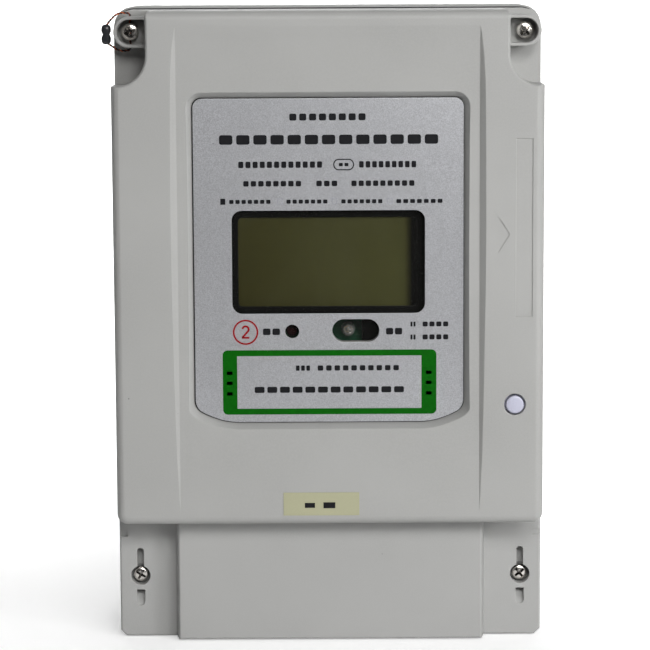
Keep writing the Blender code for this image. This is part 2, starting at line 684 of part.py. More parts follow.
def make_lid_fixing(lid, side):
    """Boss, head pocket and the two seal-wire channels round one fixing screw."""
    tag = "right" if side > 0 else "left"
    x, z = side * TERMINAL_SCREW[0], TERMINAL_SCREW[1]
    add(lid, plate("lid_boss_" + tag, [rounded(x - 5.2 * MM, x + 5.2 * MM, z - 15 * MM, z + 14 * MM, 2 * MM)],
                   43 * MM, WING_FRONT - 1.5 * MM))
    add(lid, rod("lid_foot_" + tag, (x, z), 4.6 * MM, BASE_DEPTH + GAP, 44 * MM, sides=20))
    cut(lid, rod("lid_screw_hole_" + tag, (x, z), 2.1 * MM, BASE_DEPTH - 1 * MM, POCKET_FLOOR + 1 * MM, sides=16))
    cut(lid, rod("lid_head_pocket_" + tag, (x, z), HEAD_POCKET, POCKET_FLOOR, 55 * MM, sides=28))
    slot = 1.35 * MM
    channel = [(x - slot, z + 1 * MM), (x + slot, z + 1 * MM)]
    channel += arc(x, z + 10.2 * MM, slot, 0, 180, 5)
    cut(lid, plate("lid_wire_slot_" + tag, [channel], POCKET_FLOOR + 1 * MM, 55 * MM))
    cut(lid, make_wire_ramp(tag, x, z - 6 * MM))
    nick = sorted((side * (TERMINAL_HALF + 1 * MM), side * (TERMINAL_HALF - 3.4 * MM)))
    cut(lid, plate("lid_nick_" + tag, [rectangle(*nick, -88 * MM, -84.7 * MM)],
                   WING_FRONT - 0.7 * MM, 55 * MM))


def make_wire_ramp(tag, x, top):
    """Lower wire channel: square at the top, round at the foot, with a sloping floor."""
    half = 1.65 * MM
    low = top - 4.9 * MM
    outline = [(x + half, top), (x - half, top)] + arc(x, low, half, 180, 360, 5)
    deep = POCKET_FLOOR + 1 * MM
    shallow = WING_FRONT - 0.6 * MM
    back = []
    for px, pz in outline:
        fall = (top - pz) / (top - low + half)
        back.append((px, -(deep + (shallow - deep) * fall), pz))
    front = [(px, -55 * MM, pz) for px, pz in outline]
    return loft("lid_wire_ramp_" + tag, [back, front])


# ---------------------------------------------------------------- terminals
def make_terminal_block():
    block = box("terminal_block", -BLOCK_HALF, BLOCK_HALF, WALL + GAP, BLOCK_FRONT, BLOCK_BOTTOM, BLOCK_TOP,
                DARK_GREY, (0, -BLOCK_FRONT, BLOCK_BOTTOM))
    half = CLAMP_SIZE / 2 + GAP
    for i in range(CLAMPS):
        x = clamp_x(i)
        cut(block, box("clamp_pocket_%d" % i, x - half, x + half, CLAMP_DEPTH - half, CLAMP_DEPTH + half,
                       BLOCK_BOTTOM - 1 * MM, CLAMP_TOP + GAP))
        cut(block, box("tail_pass_%d" % i, x - 3.4 * MM, x + 3.4 * MM, CLAMP_DEPTH - 1.7 * MM,
                       CLAMP_DEPTH + 1.7 * MM, CLAMP_TOP - 1 * MM, BLOCK_TOP + 1 * MM))
        cut(block, rod("driver_hole_%d" % i, (x, -100 * MM), 3.9 * MM, CLAMP_DEPTH + half - 1 * MM,
                       BLOCK_FRONT + 1 * MM, sides=14))
    for i in range(CLAMPS - 1):
        x = clamp_x(i) + PITCH / 2
        cut(block, box("barrier_slot_%d" % i, x - 1.2 * MM, x + 1.2 * MM, BLOCK_FRONT - 6 * MM,
                       BLOCK_FRONT + 1 * MM, BLOCK_BOTTOM - 1 * MM, -90 * MM))
    return block


def make_clamp(i):
    """Brass cage for one conductor with its busbar tail."""
    x = clamp_x(i)
    half = CLAMP_SIZE / 2
    clamp = box("terminal_clamp_%d" % (i + 1), x - half, x + half, CLAMP_DEPTH - half, CLAMP_DEPTH + half,
                CLAMP_BOTTOM, CLAMP_TOP, BRASS, (x, -CLAMP_DEPTH, CLAMP_BOTTOM))
    add(clamp, box("tail_bar_%d" % i, x - 3 * MM, x + 3 * MM, CLAMP_DEPTH - 1.25 * MM,
                   CLAMP_DEPTH + 1.25 * MM, CLAMP_TOP - 1 * MM, TAIL_TOP))
    deep = 20 * MM
    cut(clamp, upright("wire_bore_%d" % i, (x, -CLAMP_DEPTH, CLAMP_BOTTOM - 1 * MM + deep / 2),
                       WIRE_BORE, deep, sides=16))
    cut(clamp, rod("clamp_thread_%d" % i, (x, -100 * MM), 2.8 * MM, CLAMP_DEPTH + 1 * MM,
                   CLAMP_DEPTH + half + 1 * MM, sides=14))
    return clamp


def make_terminal_screw(i):
    seat = 38 * MM
    return make_screw("terminal_screw_%d" % (i + 1), (clamp_x(i), -100 * MM), seat, 3.4 * MM, 3 * MM,
                      2.5 * MM, 14.4 * MM, BRASS, cross=False, steps=12)


def make_current_transformer(i):
    """Ring core round the tail of one phase's incoming terminal."""
    inner, outer, half = 4.8 * MM, 12 * MM, 4.5 * MM
    soft = 1 * MM
    profile = [(inner, half - soft), (inner + soft, half), (outer - soft, half), (outer, half - soft),
               (outer, soft - half), (outer - soft, -half), (inner + soft, -half), (inner, soft - half)]
    return turned("current_transformer_%d" % (i + 1), profile, DARK_GREY,
                  (clamp_x(2 * i), -CLAMP_DEPTH, -65 * MM), forward=False)


# ---------------------------------------------------------------- boards and display
def make_main_board():
    outline = rounded(-79 * MM, 79 * MM, -52 * MM, 88 * MM, 2 * MM, steps=2)
    holes = [arc(*place, 1.6 * MM, 0, 330, 11) for place in PCB_SCREWS]
    return plate("main_board", [outline] + holes, PCB_BACK, PCB_FRONT, BOARD)


def make_board_screw(i, place):
    return make_screw("board_screw_%d" % (i + 1), place, PCB_FRONT + GAP, 2.6 * MM, 1.9 * MM, 1.2 * MM,
                      8 * MM, STEEL, cross=False, steps=10)


def make_display():
    """Moulded frame on the board that holds the backlight and the display glass."""
    x0, x1, z0, z1 = LCD_CUTOUT
    outer = rounded(x0 - 4 * MM, x1 + 4 * MM, z0 - 1.6 * MM, z1 + 4 * MM, 1.5 * MM, steps=2)
    bay = (x0 - 2 * MM, x1 + 2 * MM, z0 - 0.4 * MM, z1 + 2 * MM)
    frame = plate("display_frame", [outer], PCB_FRONT + GAP, 66 * MM, BLACK)
    cut(frame, plate("display_bay", [rectangle(*bay)], PCB_FRONT - 1 * MM, 65 * MM))
    view = rounded(-36.3 * MM, 35.6 * MM, 9.7 * MM, 45.6 * MM, 1.6 * MM)
    cut(frame, plate("display_view", [view], 64 * MM, 67 * MM))
    left, right, low, high = bay[0] + GAP, bay[1] - GAP, bay[2] + GAP, bay[3] - GAP
    light = box("display_backlight", left, right, PCB_FRONT + GAP, 62.2 * MM, low, high, WHITE)
    glass = box("display_glass", left, right, 62.5 * MM, 64.7 * MM, low, high, OLIVE)
    return frame, light, glass


def make_led(name, place, tip, look):
    """Round lamp standing on the board, with a collar and a domed end."""
    radius = 2.5 * MM
    base = PCB_FRONT + GAP
    height = tip - base
    profile = [(0, height)]
    profile += [(radius * sin(radians(a)), height - radius + radius * cos(radians(a))) for a in (30, 60, 90)]
    profile += [(radius, 1 * MM), (2.9 * MM, 1 * MM), (2.9 * MM, 0), (0, 0)]
    return turned(name, profile, look, (place[0], -base, place[1]), steps=16)


def make_antenna():
    """Flat coil behind the card area."""
    outer = rounded(-40 * MM, 40 * MM, -36 * MM, -7.5 * MM, 4 * MM, steps=3)
    inner = rounded(-37 * MM, 37 * MM, -33 * MM, -10.5 * MM, 2.5 * MM, steps=3)
    return plate("card_antenna", [outer, inner], PCB_FRONT + GAP, PCB_FRONT + GAP + 1.6 * MM, COPPER)


def make_transformer():
    core = box("power_transformer", -52 * MM, -16 * MM, WALL + 4 * MM, 31 * MM, 30 * MM, 62 * MM, DARK_GREY,
               (-34 * MM, -WALL, 46 * MM))
    add(core, box("winding", -46 * MM, -22 * MM, WALL + GAP, 35 * MM, 33 * MM, 59 * MM))
    return core


def make_board_parts():
    under = PCB_BACK - GAP
    radius = 7.2 * MM
    cell = upright("backup_battery", (38 * MM, -(under - radius), 62 * MM), radius, 26 * MM, BLACK, turn="Y")
    can = rod("storage_capacitor", (6 * MM, 70 * MM), 5 * MM, under - 17 * MM, under, BLACK)
    chip = box("microcontroller", -8 * MM, 6 * MM, under - 1.6 * MM, under, 8 * MM, 22 * MM, BLACK)
    eye = box("infrared_receiver", 13.4 * MM, 20.6 * MM, PCB_FRONT + GAP, 64.6 * MM, -4.4 * MM, 5 * MM, BLACK)
    return cell, can, chip, eye


# ---------------------------------------------------------------- button
def make_button():
    """Cap with a collar behind the cover and a stem that reaches the switch."""
    front = COVER_DEPTH + 0.7 * MM
    collar = WING_FACE - GAP
    stem_end = 65.2 * MM
    soft = 0.5 * MM
    profile = [(0, front - stem_end), (BUTTON_RADIUS - soft, front - stem_end),
               (BUTTON_RADIUS, front - stem_end - soft), (BUTTON_RADIUS, collar - stem_end),
               (5.2 * MM, collar - stem_end), (5.2 * MM, collar - 1.2 * MM - stem_end),
               (1.9 * MM, collar - 1.2 * MM - stem_end), (1.9 * MM, 0), (0, 0)]
    return turned("push_button", profile, WHITE, (BUTTON[0], -stem_end, BUTTON[1]))


def make_switch():
    x, z = BUTTON
    half = 3 * MM
    base = PCB_FRONT + GAP
    switch = box("button_switch", x - half, x + half, base, base + 3.4 * MM, z - half, z + half, BLACK)
    cut(switch, rod("plunger_bore", BUTTON, 2.1 * MM, base + 1 * MM, base + 4 * MM, sides=16))
    plunger = rod("switch_plunger", BUTTON, 1.75 * MM, base + 1.9 * MM, 64.9 * MM, BLACK, sides=16)
    return switch, plunger


# ---------------------------------------------------------------- load relay
def make_relay():
    """Latching relay: tray, coil, rocking armature, sliding pusher and three arms."""
    x0, x1, z0, z1 = -56 * MM, 46 * MM, -41 * MM, -4 * MM
    back, front = WALL + GAP, 27 * MM
    case = box("relay_case", x0, x1, back, front, z0, z1, DARK_GREY)
    cut(case, box("relay_bay", x0 + 2 * MM, x1 - 2 * MM, back + 2 * MM, front + 1 * MM, z0 + 2 * MM, z1 - 2 * MM))
    deep, near = back + 4 * MM, front - 6 * MM
    coil = turned("relay_coil", [(3.2 * MM, 11 * MM), (7.2 * MM, 11 * MM), (7.2 * MM, 9.6 * MM),
                                 (6.2 * MM, 9.6 * MM), (6.2 * MM, -9.6 * MM), (7.2 * MM, -9.6 * MM),
                                 (7.2 * MM, -11 * MM), (3.2 * MM, -11 * MM)],
                  COPPER, (-45 * MM, -15 * MM, -23 * MM), forward=False)
    push_z = RELAY_PIVOT_Z + RELAY_PUSH
    lever = 9 * MM
    pivot = (-24 * MM, -15 * MM, push_z + lever)
    armature = box("relay_armature", pivot[0] - 7 * MM, pivot[0] + 7 * MM, deep, near, pivot[2] - 2 * MM,
                   pivot[2] + 2 * MM, STEEL, pivot)
    add(armature, box("armature_finger", pivot[0] - 1 * MM, pivot[0] + 1 * MM, deep + 2 * MM, near - 2 * MM,
                      push_z - 1.2 * MM, pivot[2]))
    pusher = box("relay_pusher", pivot[0] - 4 * MM, RELAY_ARMS[-1] + 4 * MM, deep, near, push_z - 1.8 * MM,
                 push_z + 1.8 * MM, WHITE, (pivot[0], -15 * MM, push_z))
    for i, x in enumerate((pivot[0],) + RELAY_ARMS):
        cut(pusher, box("pusher_slot_%d" % i, x - 1.7 * MM, x + 1.7 * MM, deep + 1.6 * MM, near - 1.6 * MM,
                        push_z - 3 * MM, push_z + 3 * MM))
    arms = []
    for i, x in enumerate(RELAY_ARMS):
        foot = (x, -15 * MM, RELAY_PIVOT_Z)
        arm = box("relay_contact_arm_%d" % (i + 1), x - 0.6 * MM, x + 0.6 * MM, deep + 2.4 * MM, near - 2.4 * MM,
                  RELAY_PIVOT_Z - 1.5 * MM, push_z + 3.4 * MM, COPPER, foot)
        pad_z = push_z - 6 * MM
        add(case, box("fixed_contact_%d" % i, x + 3 * MM, x + 5 * MM, back + 1 * MM, near - 2 * MM,
                      pad_z - 2 * MM, pad_z + 2 * MM))
        add(arm, upright("contact_pad_%d" % i, (x, -15 * MM, pad_z), 2 * MM, 3 * MM, sides=14, turn="Y"))
        arms.append(arm)
    return [case, coil, armature, pusher] + arms


# ---------------------------------------------------------------- assembly
def main():
    display = make_display()
    switch, plunger = make_switch()
    relay = make_relay()
    frame_pieces = [make_base(), make_hanger(), make_gasket(), make_main_board(), *display, switch,
                    make_terminal_block(), make_antenna(), make_transformer(), *make_board_parts(),
                    make_led("pulse_lamp", PULSE_HOLE, 68 * MM, RED),
                    make_led("infrared_emitter", (7.8 * MM, -0.2 * MM), 67.4 * MM, CLEAR)]
    frame_pieces += [make_clamp(i) for i in range(CLAMPS)]
    frame_pieces += [make_terminal_screw(i) for i in range(CLAMPS)]
    frame_pieces += [make_current_transformer(i) for i in range(3)]
    frame_pieces += [make_board_screw(i, place) for i, place in enumerate(PCB_SCREWS)]
    body("meter_frame", *frame_pieces, *relay[:2])
    body("armature_pivot", relay[2])
    body("pusher_slide", relay[3])
    for i, arm in enumerate(relay[4:]):
        body("arm_pivot_%d" % (i + 1), arm)
    body("plunger_slide", plunger)
    cover = body("main_cover_slide", make_main_cover(), make_faceplate(), make_window_pane(), make_sticker(),
                 make_seal_screw("cover_seal_screw_left", -1), make_seal_screw("cover_seal_screw_right", 1),
                 make_seal_wire(), make_seal_body())
    body("button_slide", make_button()).parent = cover
    lid = body("terminal_cover_slide", make_terminal_cover())
    for name, side in (("terminal_cover_screw_left", -1), ("terminal_cover_screw_right", 1)):
        body(name + "_axis", make_terminal_cover_screw(name, side)).parent = lid


main()
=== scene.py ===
"""Looks of the prepaid electricity meter: fine shells, prints, glass, metal and wire.

Lengths are in metres, in the frame of the CAD model: +Z up, the front towards -Y,
the wall at Y = 0. `MM` turns millimetres into metres.
"""
from math import copysign, cos, pi, radians, sin

import bmesh
import bpy
from mathutils import Matrix, Vector


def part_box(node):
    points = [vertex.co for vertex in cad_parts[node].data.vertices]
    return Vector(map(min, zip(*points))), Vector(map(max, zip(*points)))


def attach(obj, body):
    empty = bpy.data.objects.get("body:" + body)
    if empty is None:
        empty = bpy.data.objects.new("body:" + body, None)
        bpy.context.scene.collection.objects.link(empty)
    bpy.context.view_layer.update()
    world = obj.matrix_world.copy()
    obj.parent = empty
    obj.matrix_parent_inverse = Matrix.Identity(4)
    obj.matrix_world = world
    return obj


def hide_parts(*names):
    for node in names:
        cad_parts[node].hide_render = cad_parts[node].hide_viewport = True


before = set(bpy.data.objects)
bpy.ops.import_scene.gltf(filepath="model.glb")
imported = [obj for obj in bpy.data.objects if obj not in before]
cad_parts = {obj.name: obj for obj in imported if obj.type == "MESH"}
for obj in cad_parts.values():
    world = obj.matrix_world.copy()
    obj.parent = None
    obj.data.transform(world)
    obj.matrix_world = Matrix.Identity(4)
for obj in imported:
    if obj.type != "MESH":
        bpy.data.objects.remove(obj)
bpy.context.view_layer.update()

MM = 0.001
WELD = 2e-6     # points closer than this are joined


def mm(*sizes):
    return tuple(size * MM for size in sizes)


# Names for depths (FLOOR, FRONT, FACE, SEAT, SKIRT) are distances in front of the wall.
GAP = 0.3 * MM
COVER_LOW, COVER_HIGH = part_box("main_cover")
LID_LOW, LID_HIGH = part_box("terminal_cover")
BASE_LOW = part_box("base")[0]
PLATE_FRONT = -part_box("faceplate")[0].y
COVER_FRONT = -COVER_LOW.y
SKIRT = -COVER_HIGH.y

# main cover: corner notches, seal lugs, shell, sunk panel, window recess, openings, marks
NOTCH_WALL, NOTCH_ARC, NOTCH_FOOT, NOTCH_FLOOR = mm(72.1, 12.3, 98.6, 52)
LUG_TOP, LUG_RADIUS, LUG_WALL, LUG_SEAT = mm(64, 6.3, 1.4, 54)
SEAL_SCREW = mm(79.1, 119.8)
WIRE_HOLE, WIRE_DEPTH = mm(0.85, 56.1)
COVER_SKIN, COVER_EDGE, PANEL_HALF = mm(2.8, 3.6, 60.2)
PANEL_FLARE = 2.3 / 2.2
# height on the panel and how deep it is sunk there, both in millimetres
PANEL_DEPTHS = ((122.3, -0.05), (118, 0.7), (109, 1.4), (97, 1.9), (62, 2.2), (28, 2.2), (-10, 1.75),
                (-45, 1.1), (-66, 0.45), (-73.5, -0.05))
RECESS_HALF, RECESS_TOP, RECESS_BOTTOM, RECESS_FLOOR = mm(54.3, 94.1, -36.9, 70.5)
RECESS_SLOPE = 0.54
PANE_BOX = mm(-44, 44, -8, 53)
LCD_CUTOUT = mm(-38.7, 38.5, 7.4, 48.9)
PULSE_HOLE = mm(-14.8, 0.2)
IR_CUTOUT = mm(1.3, 20.2, -4.2, 5.1)
INNER_FACE, WING_FACE = mm(66.5, 73)
BUTTON = mm(74.4, -29.2)
BUTTON_HOLE = 4.3 * MM
SLOT_MARK = mm(74.6, 81.2, 6.4, 77.5)
ARROW_MARK = (mm(67.6, 32), mm(72.2, 39.4), mm(67.6, 46.6))
# terminal cover
TERMINAL_SCREW = mm(78.3, -103.7)
WING_FRONT, CENTRE_HALF, CENTRE_DRAFT = mm(54, 63.4, 1.1)
HEAD_POCKET, POCKET_FLOOR = mm(3.95, 48)
# seal wire: length of one twist, each strand's distance from the middle, its radius
TWIST, STRAND_SHIFT, STRAND_RADIUS = mm(2.6, 0.23, 0.26)


# ---- node material kit
class Paint:
    """Small helper that adds and links the nodes of one material."""

    def __init__(self, name, colour, roughness, metallic=0.0):
        self.material = bpy.data.materials.new(name)
        self.material.use_nodes = True
        self.nodes = self.material.node_tree.nodes
        self.links = self.material.node_tree.links
        self.shader = self.nodes["Principled BSDF"]
        self.set("Base Color", (*colour, 1))
        self.set("Roughness", roughness)
        self.set("Metallic", metallic)
        self.place = self.nodes.new("ShaderNodeTexCoord").outputs["Object"]

    def set(self, socket, value):
        self.shader.inputs[socket].default_value = value

    def node(self, kind, **inputs):
        """Add a node; an underscore in an input's name stands for a space."""
        node = self.nodes.new("ShaderNode" + kind)
        for name, value in inputs.items():
            socket = node.inputs[name.replace("_", " ")]
            if isinstance(value, bpy.types.NodeSocket):
                self.links.new(value, socket)
            else:
                socket.default_value = value
        return node

    def noise(self, scale, detail=2.0, stretch=None):
        """Noise value in the object's own space; scale is in features for each metre."""
        where = self.place
        if stretch:
            where = self.node("Mapping", Vector=where, Scale=stretch).outputs["Vector"]
        return self.node("TexNoise", Vector=where, Scale=scale, Detail=detail).outputs["Fac"]

    def cells(self, scale):
        return self.node("TexVoronoi", Vector=self.place, Scale=scale).outputs["Distance"]

    def axis(self, letter):
        return self.node("SeparateXYZ", Vector=self.place).outputs[letter]

    def range(self, value, low, high, to_low=0, to_high=1):
        node = self.node("MapRange", Value=value, From_Min=low, From_Max=high, To_Min=to_low, To_Max=to_high)
        return node.outputs["Result"]

    def product(self, a, b):
        node = self.nodes.new("ShaderNodeMath")
        node.operation = "MULTIPLY"
        self.links.new(a, node.inputs[0])
        if isinstance(b, (int, float)):
            node.inputs[1].default_value = b
        else:
            self.links.new(b, node.inputs[1])
        return node.outputs["Value"]

    def mix(self, factor, a, b):
        """Mix two colours; each is a colour tuple or another node's output."""
        node = self.nodes.new("ShaderNodeMix")
        node.data_type = "RGBA"
        for socket, value in ((node.inputs[0], factor), (node.inputs[6], a), (node.inputs[7], b)):
            if isinstance(value, (int, float)):
                socket.default_value = value
            elif isinstance(value, tuple):
                socket.default_value = (*value, 1)
            else:
                self.links.new(value, socket)
        return node.outputs[2]

    def crevice_shade(self, distance):
        """Painted shade: 0 in the corners and cuts, where shade falls, 1 on open surfaces."""
        node = self.node("AmbientOcclusion", Distance=distance)
        node.samples = 6
        return self.range(node.outputs["AO"], 0.45, 0.85)

    def bump(self, height, strength, distance):
        node = self.node("Bump", Height=height, Strength=strength, Distance=distance)
        self.feed("Normal", node.outputs["Normal"])

    def feed(self, socket, value):
        self.links.new(value, self.shader.inputs[socket])

    def dust(self, tone, scale, sizes, patch, limits, most, colour):
        """Rare specks over a tone, only where a coarse noise is high."""
        speck = self.range(self.cells(scale), *sizes, 1, 0)
        rare = self.range(self.noise(patch, 0), *limits, 0, most)
        return self.mix(self.product(speck, rare), tone, colour)


def shade(colour, factor):
    return tuple(factor * c for c in colour)


def moulded(name, colour, roughness=0.5, grain=0.035, spots=True, shine=0.5):
    """Grained moulded plastic: mottling, fine grain bump, rare dark specks."""
    paint = Paint(name, colour, roughness)
    paint.set("Specular IOR Level", shine)
    dark = shade(colour, 0.93)
    light = tuple(min(1, 1.05 * c) for c in colour)
    cloud = paint.range(paint.noise(14, 3), 0.3, 0.7)
    tone = paint.mix(cloud, dark, light)
    fine = paint.range(paint.noise(1500, 2), 0.35, 0.65)
    tone = paint.mix(fine, tone, paint.mix(0.5, tone, light))
    if spots:
        tone = paint.dust(tone, 95, (0.022, 0.034), 60, (0.56, 0.6), 0.75, shade(colour, 0.35))
    paint.feed("Base Color", tone)
    paint.feed("Roughness", paint.range(paint.noise(40, 3), 0.3, 0.7, roughness - 0.06, roughness + 0.06))
    paint.bump(paint.noise(2600, 2), grain * 4, 0.00006)
    return paint.material


def metal(name, colour, roughness, streak=(1, 1, 1), stain=0.75):
    """Plated or turned metal with fine tool marks, dull patches and painted shade in its crevices."""
    paint = Paint(name, colour, roughness, 1.0)
    marks = paint.noise(2200, 3, streak)
    dull = paint.range(paint.noise(420, 3), 0.4, 0.65)
    tone = paint.mix(dull, colour, shade(colour, stain))
    # crevices and recesses are darkened almost to black: painted shade
    paint.feed("Base Color", paint.mix(paint.crevice_shade(0.0014), shade(colour, 0.06), tone))
    paint.feed("Roughness", paint.range(marks, 0.3, 0.7, roughness * 0.75, roughness * 1.4))
    paint.bump(marks, 0.12, 0.00003)
    return paint.material


def ink(name, colour, roughness=0.42):
    """Screen-printed ink: slightly uneven coverage."""
    paint = Paint(name, colour, roughness)
    paint.set("Specular IOR Level", 0.12)
    cover = paint.range(paint.noise(900, 3), 0.3, 0.7)
    paint.feed("Base Color", paint.mix(cover, shade(colour, 0.85), shade(colour, 1.12)))
    paint.bump(paint.noise(3000, 1), 0.08, 0.00003)
    return paint.material


def make_silver():
    """Silver-printed plate: metallic flake, slight cloud and a few dust specks."""
    colour = (0.56, 0.566, 0.59)
    paint = Paint("speckled_silver", colour, 0.42, 0.7)
    flake = paint.range(paint.noise(2700, 1), 0.25, 0.75)
    tone = paint.mix(flake, shade(colour, 0.84), shade(colour, 1.27))
    cloud = paint.range(paint.noise(18, 2), 0.3, 0.7)
    tone = paint.mix(cloud, tone, paint.mix(0.25, tone, (0.5, 0.51, 0.53)))
    tone = paint.dust(tone, 120, (0.02, 0.03), 70, (0.57, 0.61), 0.8, (0.08, 0.08, 0.09))
    paint.feed("Base Color", tone)
    paint.feed("Roughness", paint.range(flake, 0, 1, 0.3, 0.42))
    paint.bump(flake, 0.1, 0.00002)
    return paint.material


def make_display_glass():
    """Unlit display: olive polariser, darker to the left, with a painted shadow of the window's edge that turns it
    black past its right edge.
    """
    paint = Paint("olive_display", (0.04, 0.04, 0.015), 0.16)
    paint.set("Specular IOR Level", 0.16)
    across = paint.range(paint.axis("X"), -0.036, 0.036)
    tone = paint.mix(across, (0.053, 0.049, 0.0115), (0.098, 0.099, 0.033))
    up = paint.range(paint.axis("Z"), 0.01, 0.045, 0.0, 0.35)
    tone = paint.mix(up, tone, (0.072, 0.071, 0.024))
    haze = paint.range(paint.noise(55, 3, (1, 1, 0.25)), 0.45, 0.7, 0, 0.35)
    tone = paint.mix(haze, tone, (0.10, 0.10, 0.043))
    tone = paint.dust(tone, 230, (0.02, 0.035), 150, (0.56, 0.6), 0.6, (0.35, 0.35, 0.3))
    # painted shadow of the window's edge: the glass turns black towards its right edge
    edge = paint.range(paint.axis("X"), 0.0305, 0.0335)
    tone = paint.mix(edge, tone, (0.002, 0.002, 0.002))
    paint.feed("Base Color", tone)
    paint.feed("Roughness", paint.range(paint.noise(90, 3), 0.3, 0.7, 0.1, 0.24))
    return paint.material


def make_pane():
    """Clear acrylic sheet: nearly all light passes, the surface keeps fine wiping marks."""
    paint = Paint("clear_pane", (0.03, 0.03, 0.028), 0.05)
    paint.set("Alpha", 0.14)
    paint.set("Specular IOR Level", 0.3)
    marks = paint.noise(260, 3, (1, 1, 0.12))
    paint.feed("Roughness", paint.range(marks, 0.5, 0.8, 0.04, 0.2))
    return paint.material


def make_lens():
    """Clear epoxy lamp: see-through by alpha, with a wet highlight."""
    paint = Paint("clear_lens", (0.55, 0.56, 0.52), 0.06)
    paint.set("Alpha", 0.3)
    paint.set("Specular IOR Level", 1.0)
    paint.feed("Roughness", paint.range(paint.noise(500, 2), 0.3, 0.7, 0.03, 0.14))
    return paint.material


def make_board_green():
    """Solder mask over fine copper tracks."""
    paint = Paint("solder_mask", (0.008, 0.09, 0.04), 0.32)
    turned = paint.node("Mapping", Vector=paint.place, Rotation=(pi / 2, 0, 0)).outputs["Vector"]
    brick = paint.node("TexBrick", Vector=turned, Scale=170, Mortar_Size=0.09, Brick_Width=1.6)
    track = paint.range(brick.outputs["Fac"], 0.4, 0.6, 0, 0.5)
    tone = paint.mix(track, (0.007, 0.075, 0.034), (0.012, 0.12, 0.05))
    grain = paint.range(paint.noise(700, 2), 0.35, 0.65, 0, 0.3)
    tone = paint.mix(grain, tone, (0.004, 0.05, 0.022))
    paint.feed("Base Color", tone)
    paint.bump(brick.outputs["Fac"], 0.25, 0.00004)
    return paint.material


def wrapped(name, colour, roughness, turns):
    """Wound coil: fine ridges that repeat along Z."""
    paint = Paint(name, colour, roughness, 0.6)
    wave = paint.node("TexWave", Vector=paint.place, Scale=turns, Distortion=0.6)
    wave.bands_direction = "Z"
    paint.feed("Base Color", paint.mix(wave.outputs["Fac"], shade(colour, 0.35), colour))
    paint.bump(wave.outputs["Fac"], 0.5, 0.0001)
    return paint.material


def make_strand():
    """Enamelled orange strand of the seal wire, dark where it has worn."""
    paint = Paint("orange_strand", (0.5, 0.11, 0.03), 0.4)
    worn = paint.range(paint.noise(500, 2), 0.4, 0.6)
    paint.feed("Base Color", paint.mix(worn, (0.58, 0.13, 0.03), (0.16, 0.03, 0.012)))
    return paint.material


CASE = moulded("warm_grey_case", (0.392, 0.392, 0.382))
LID = moulded("warm_grey_lid", (0.392, 0.392, 0.384))
INK_BLACK = ink("black_ink", (0.012, 0.012, 0.014))
INK_GREEN = ink("green_ink", (0.0, 0.102, 0.0), 0.45)
INK_RED = ink("red_ink", (0.30, 0.004, 0.008))
INK_FAINT = ink("faint_ink", (0.44, 0.44, 0.50))
SILVER = make_silver()
NICKEL = metal("nickel_plate", (0.93, 0.89, 0.84), 0.2, stain=0.85)
ZINC = metal("zinc_steel", (0.55, 0.56, 0.57), 0.38, (1, 1, 6))
BRASS = metal("turned_brass", (0.74, 0.54, 0.24), 0.28, (6, 6, 1))
COPPER = metal("copper", (0.80, 0.36, 0.2), 0.3)
BLACK = moulded("black_moulding", (0.012, 0.012, 0.013), 0.38, 0.035, False, 0.3)
GLOSS_BLACK = moulded("black_frame", (0.002, 0.002, 0.002), 0.3, 0.01, False, 0.1)
BAKELITE = moulded("dark_block", (0.055, 0.056, 0.06), 0.45)
IVORY = moulded("ivory_moulding", (0.55, 0.54, 0.48), 0.4, spots=False)
RUBBER = moulded("black_rubber", (0.018, 0.018, 0.018), 0.85, 0.06, spots=False)
KHAKI = moulded("khaki_paper", (0.405, 0.40, 0.262), 0.6, 0.02)
BUTTON_WHITE = moulded("lavender_white_cap", (0.53, 0.535, 0.65), 0.32, 0.008, spots=False)
PANE = make_pane()
LENS = make_lens()
OLIVE = make_display_glass()
BOARD = make_board_green()
WOUND = wrapped("enamelled_winding", (0.55, 0.2, 0.09), 0.35, 900)
STRAND = make_strand()
SEAL_PLASTIC = moulded("smoked_seal", (0.03, 0.032, 0.036), 0.22, 0.05, spots=False)
RED_LENS = moulded("dark_red_lens", (0.03, 0.0012, 0.0028), 0.12, 0.01, False, 0.25)
BATTERY = moulded("battery_sleeve", (0.04, 0.16, 0.30), 0.3, 0.01, spots=False)
CAPACITOR = moulded("capacitor_sleeve", (0.015, 0.02, 0.05), 0.3, 0.01, spots=False)
BLUE_TAPE = moulded("transformer_tape", (0.03, 0.06, 0.22), 0.4, 0.05, spots=False)
RESISTOR = moulded("resistor_coat", (0.05, 0.22, 0.30), 0.35, 0.01, spots=False)


# ---- outlines
def arc(x, z, radius, start, end, steps=10):
    """Points on a circle in the front view; the angles are in degrees."""
    turns = [radians(start + (end - start) * i / steps) for i in range(steps + 1)]
    return [(x + radius * cos(a), z + radius * sin(a)) for a in turns]


def rounded(x0, x1, z0, z1, top, bottom=None, steps=10):
    bottom = top if bottom is None else bottom
    points = arc(x0 + bottom, z0 + bottom, bottom, 180, 270, steps)
    points += arc(x1 - bottom, z0 + bottom, bottom, 270, 360, steps)
    points += arc(x1 - top, z1 - top, top, 0, 90, steps)
    return points + arc(x0 + top, z1 - top, top, 90, 180, steps)


def circle(x, z, radius, steps=48):
    return arc(x, z, radius, 0, 360 - 360 / steps, steps - 1)


def rectangle(x0, x1, z0, z1):
    return [(x0, z0), (x1, z0), (x1, z1), (x0, z1)]


def mirrored(right_half):
    return right_half + [(-x, z) for x, z in reversed(right_half)]


def sided(points, side):
    """Right-hand outline, or its mirror image on the left."""
    return points if side > 0 else [(-x, z) for x, z in reversed(points)]


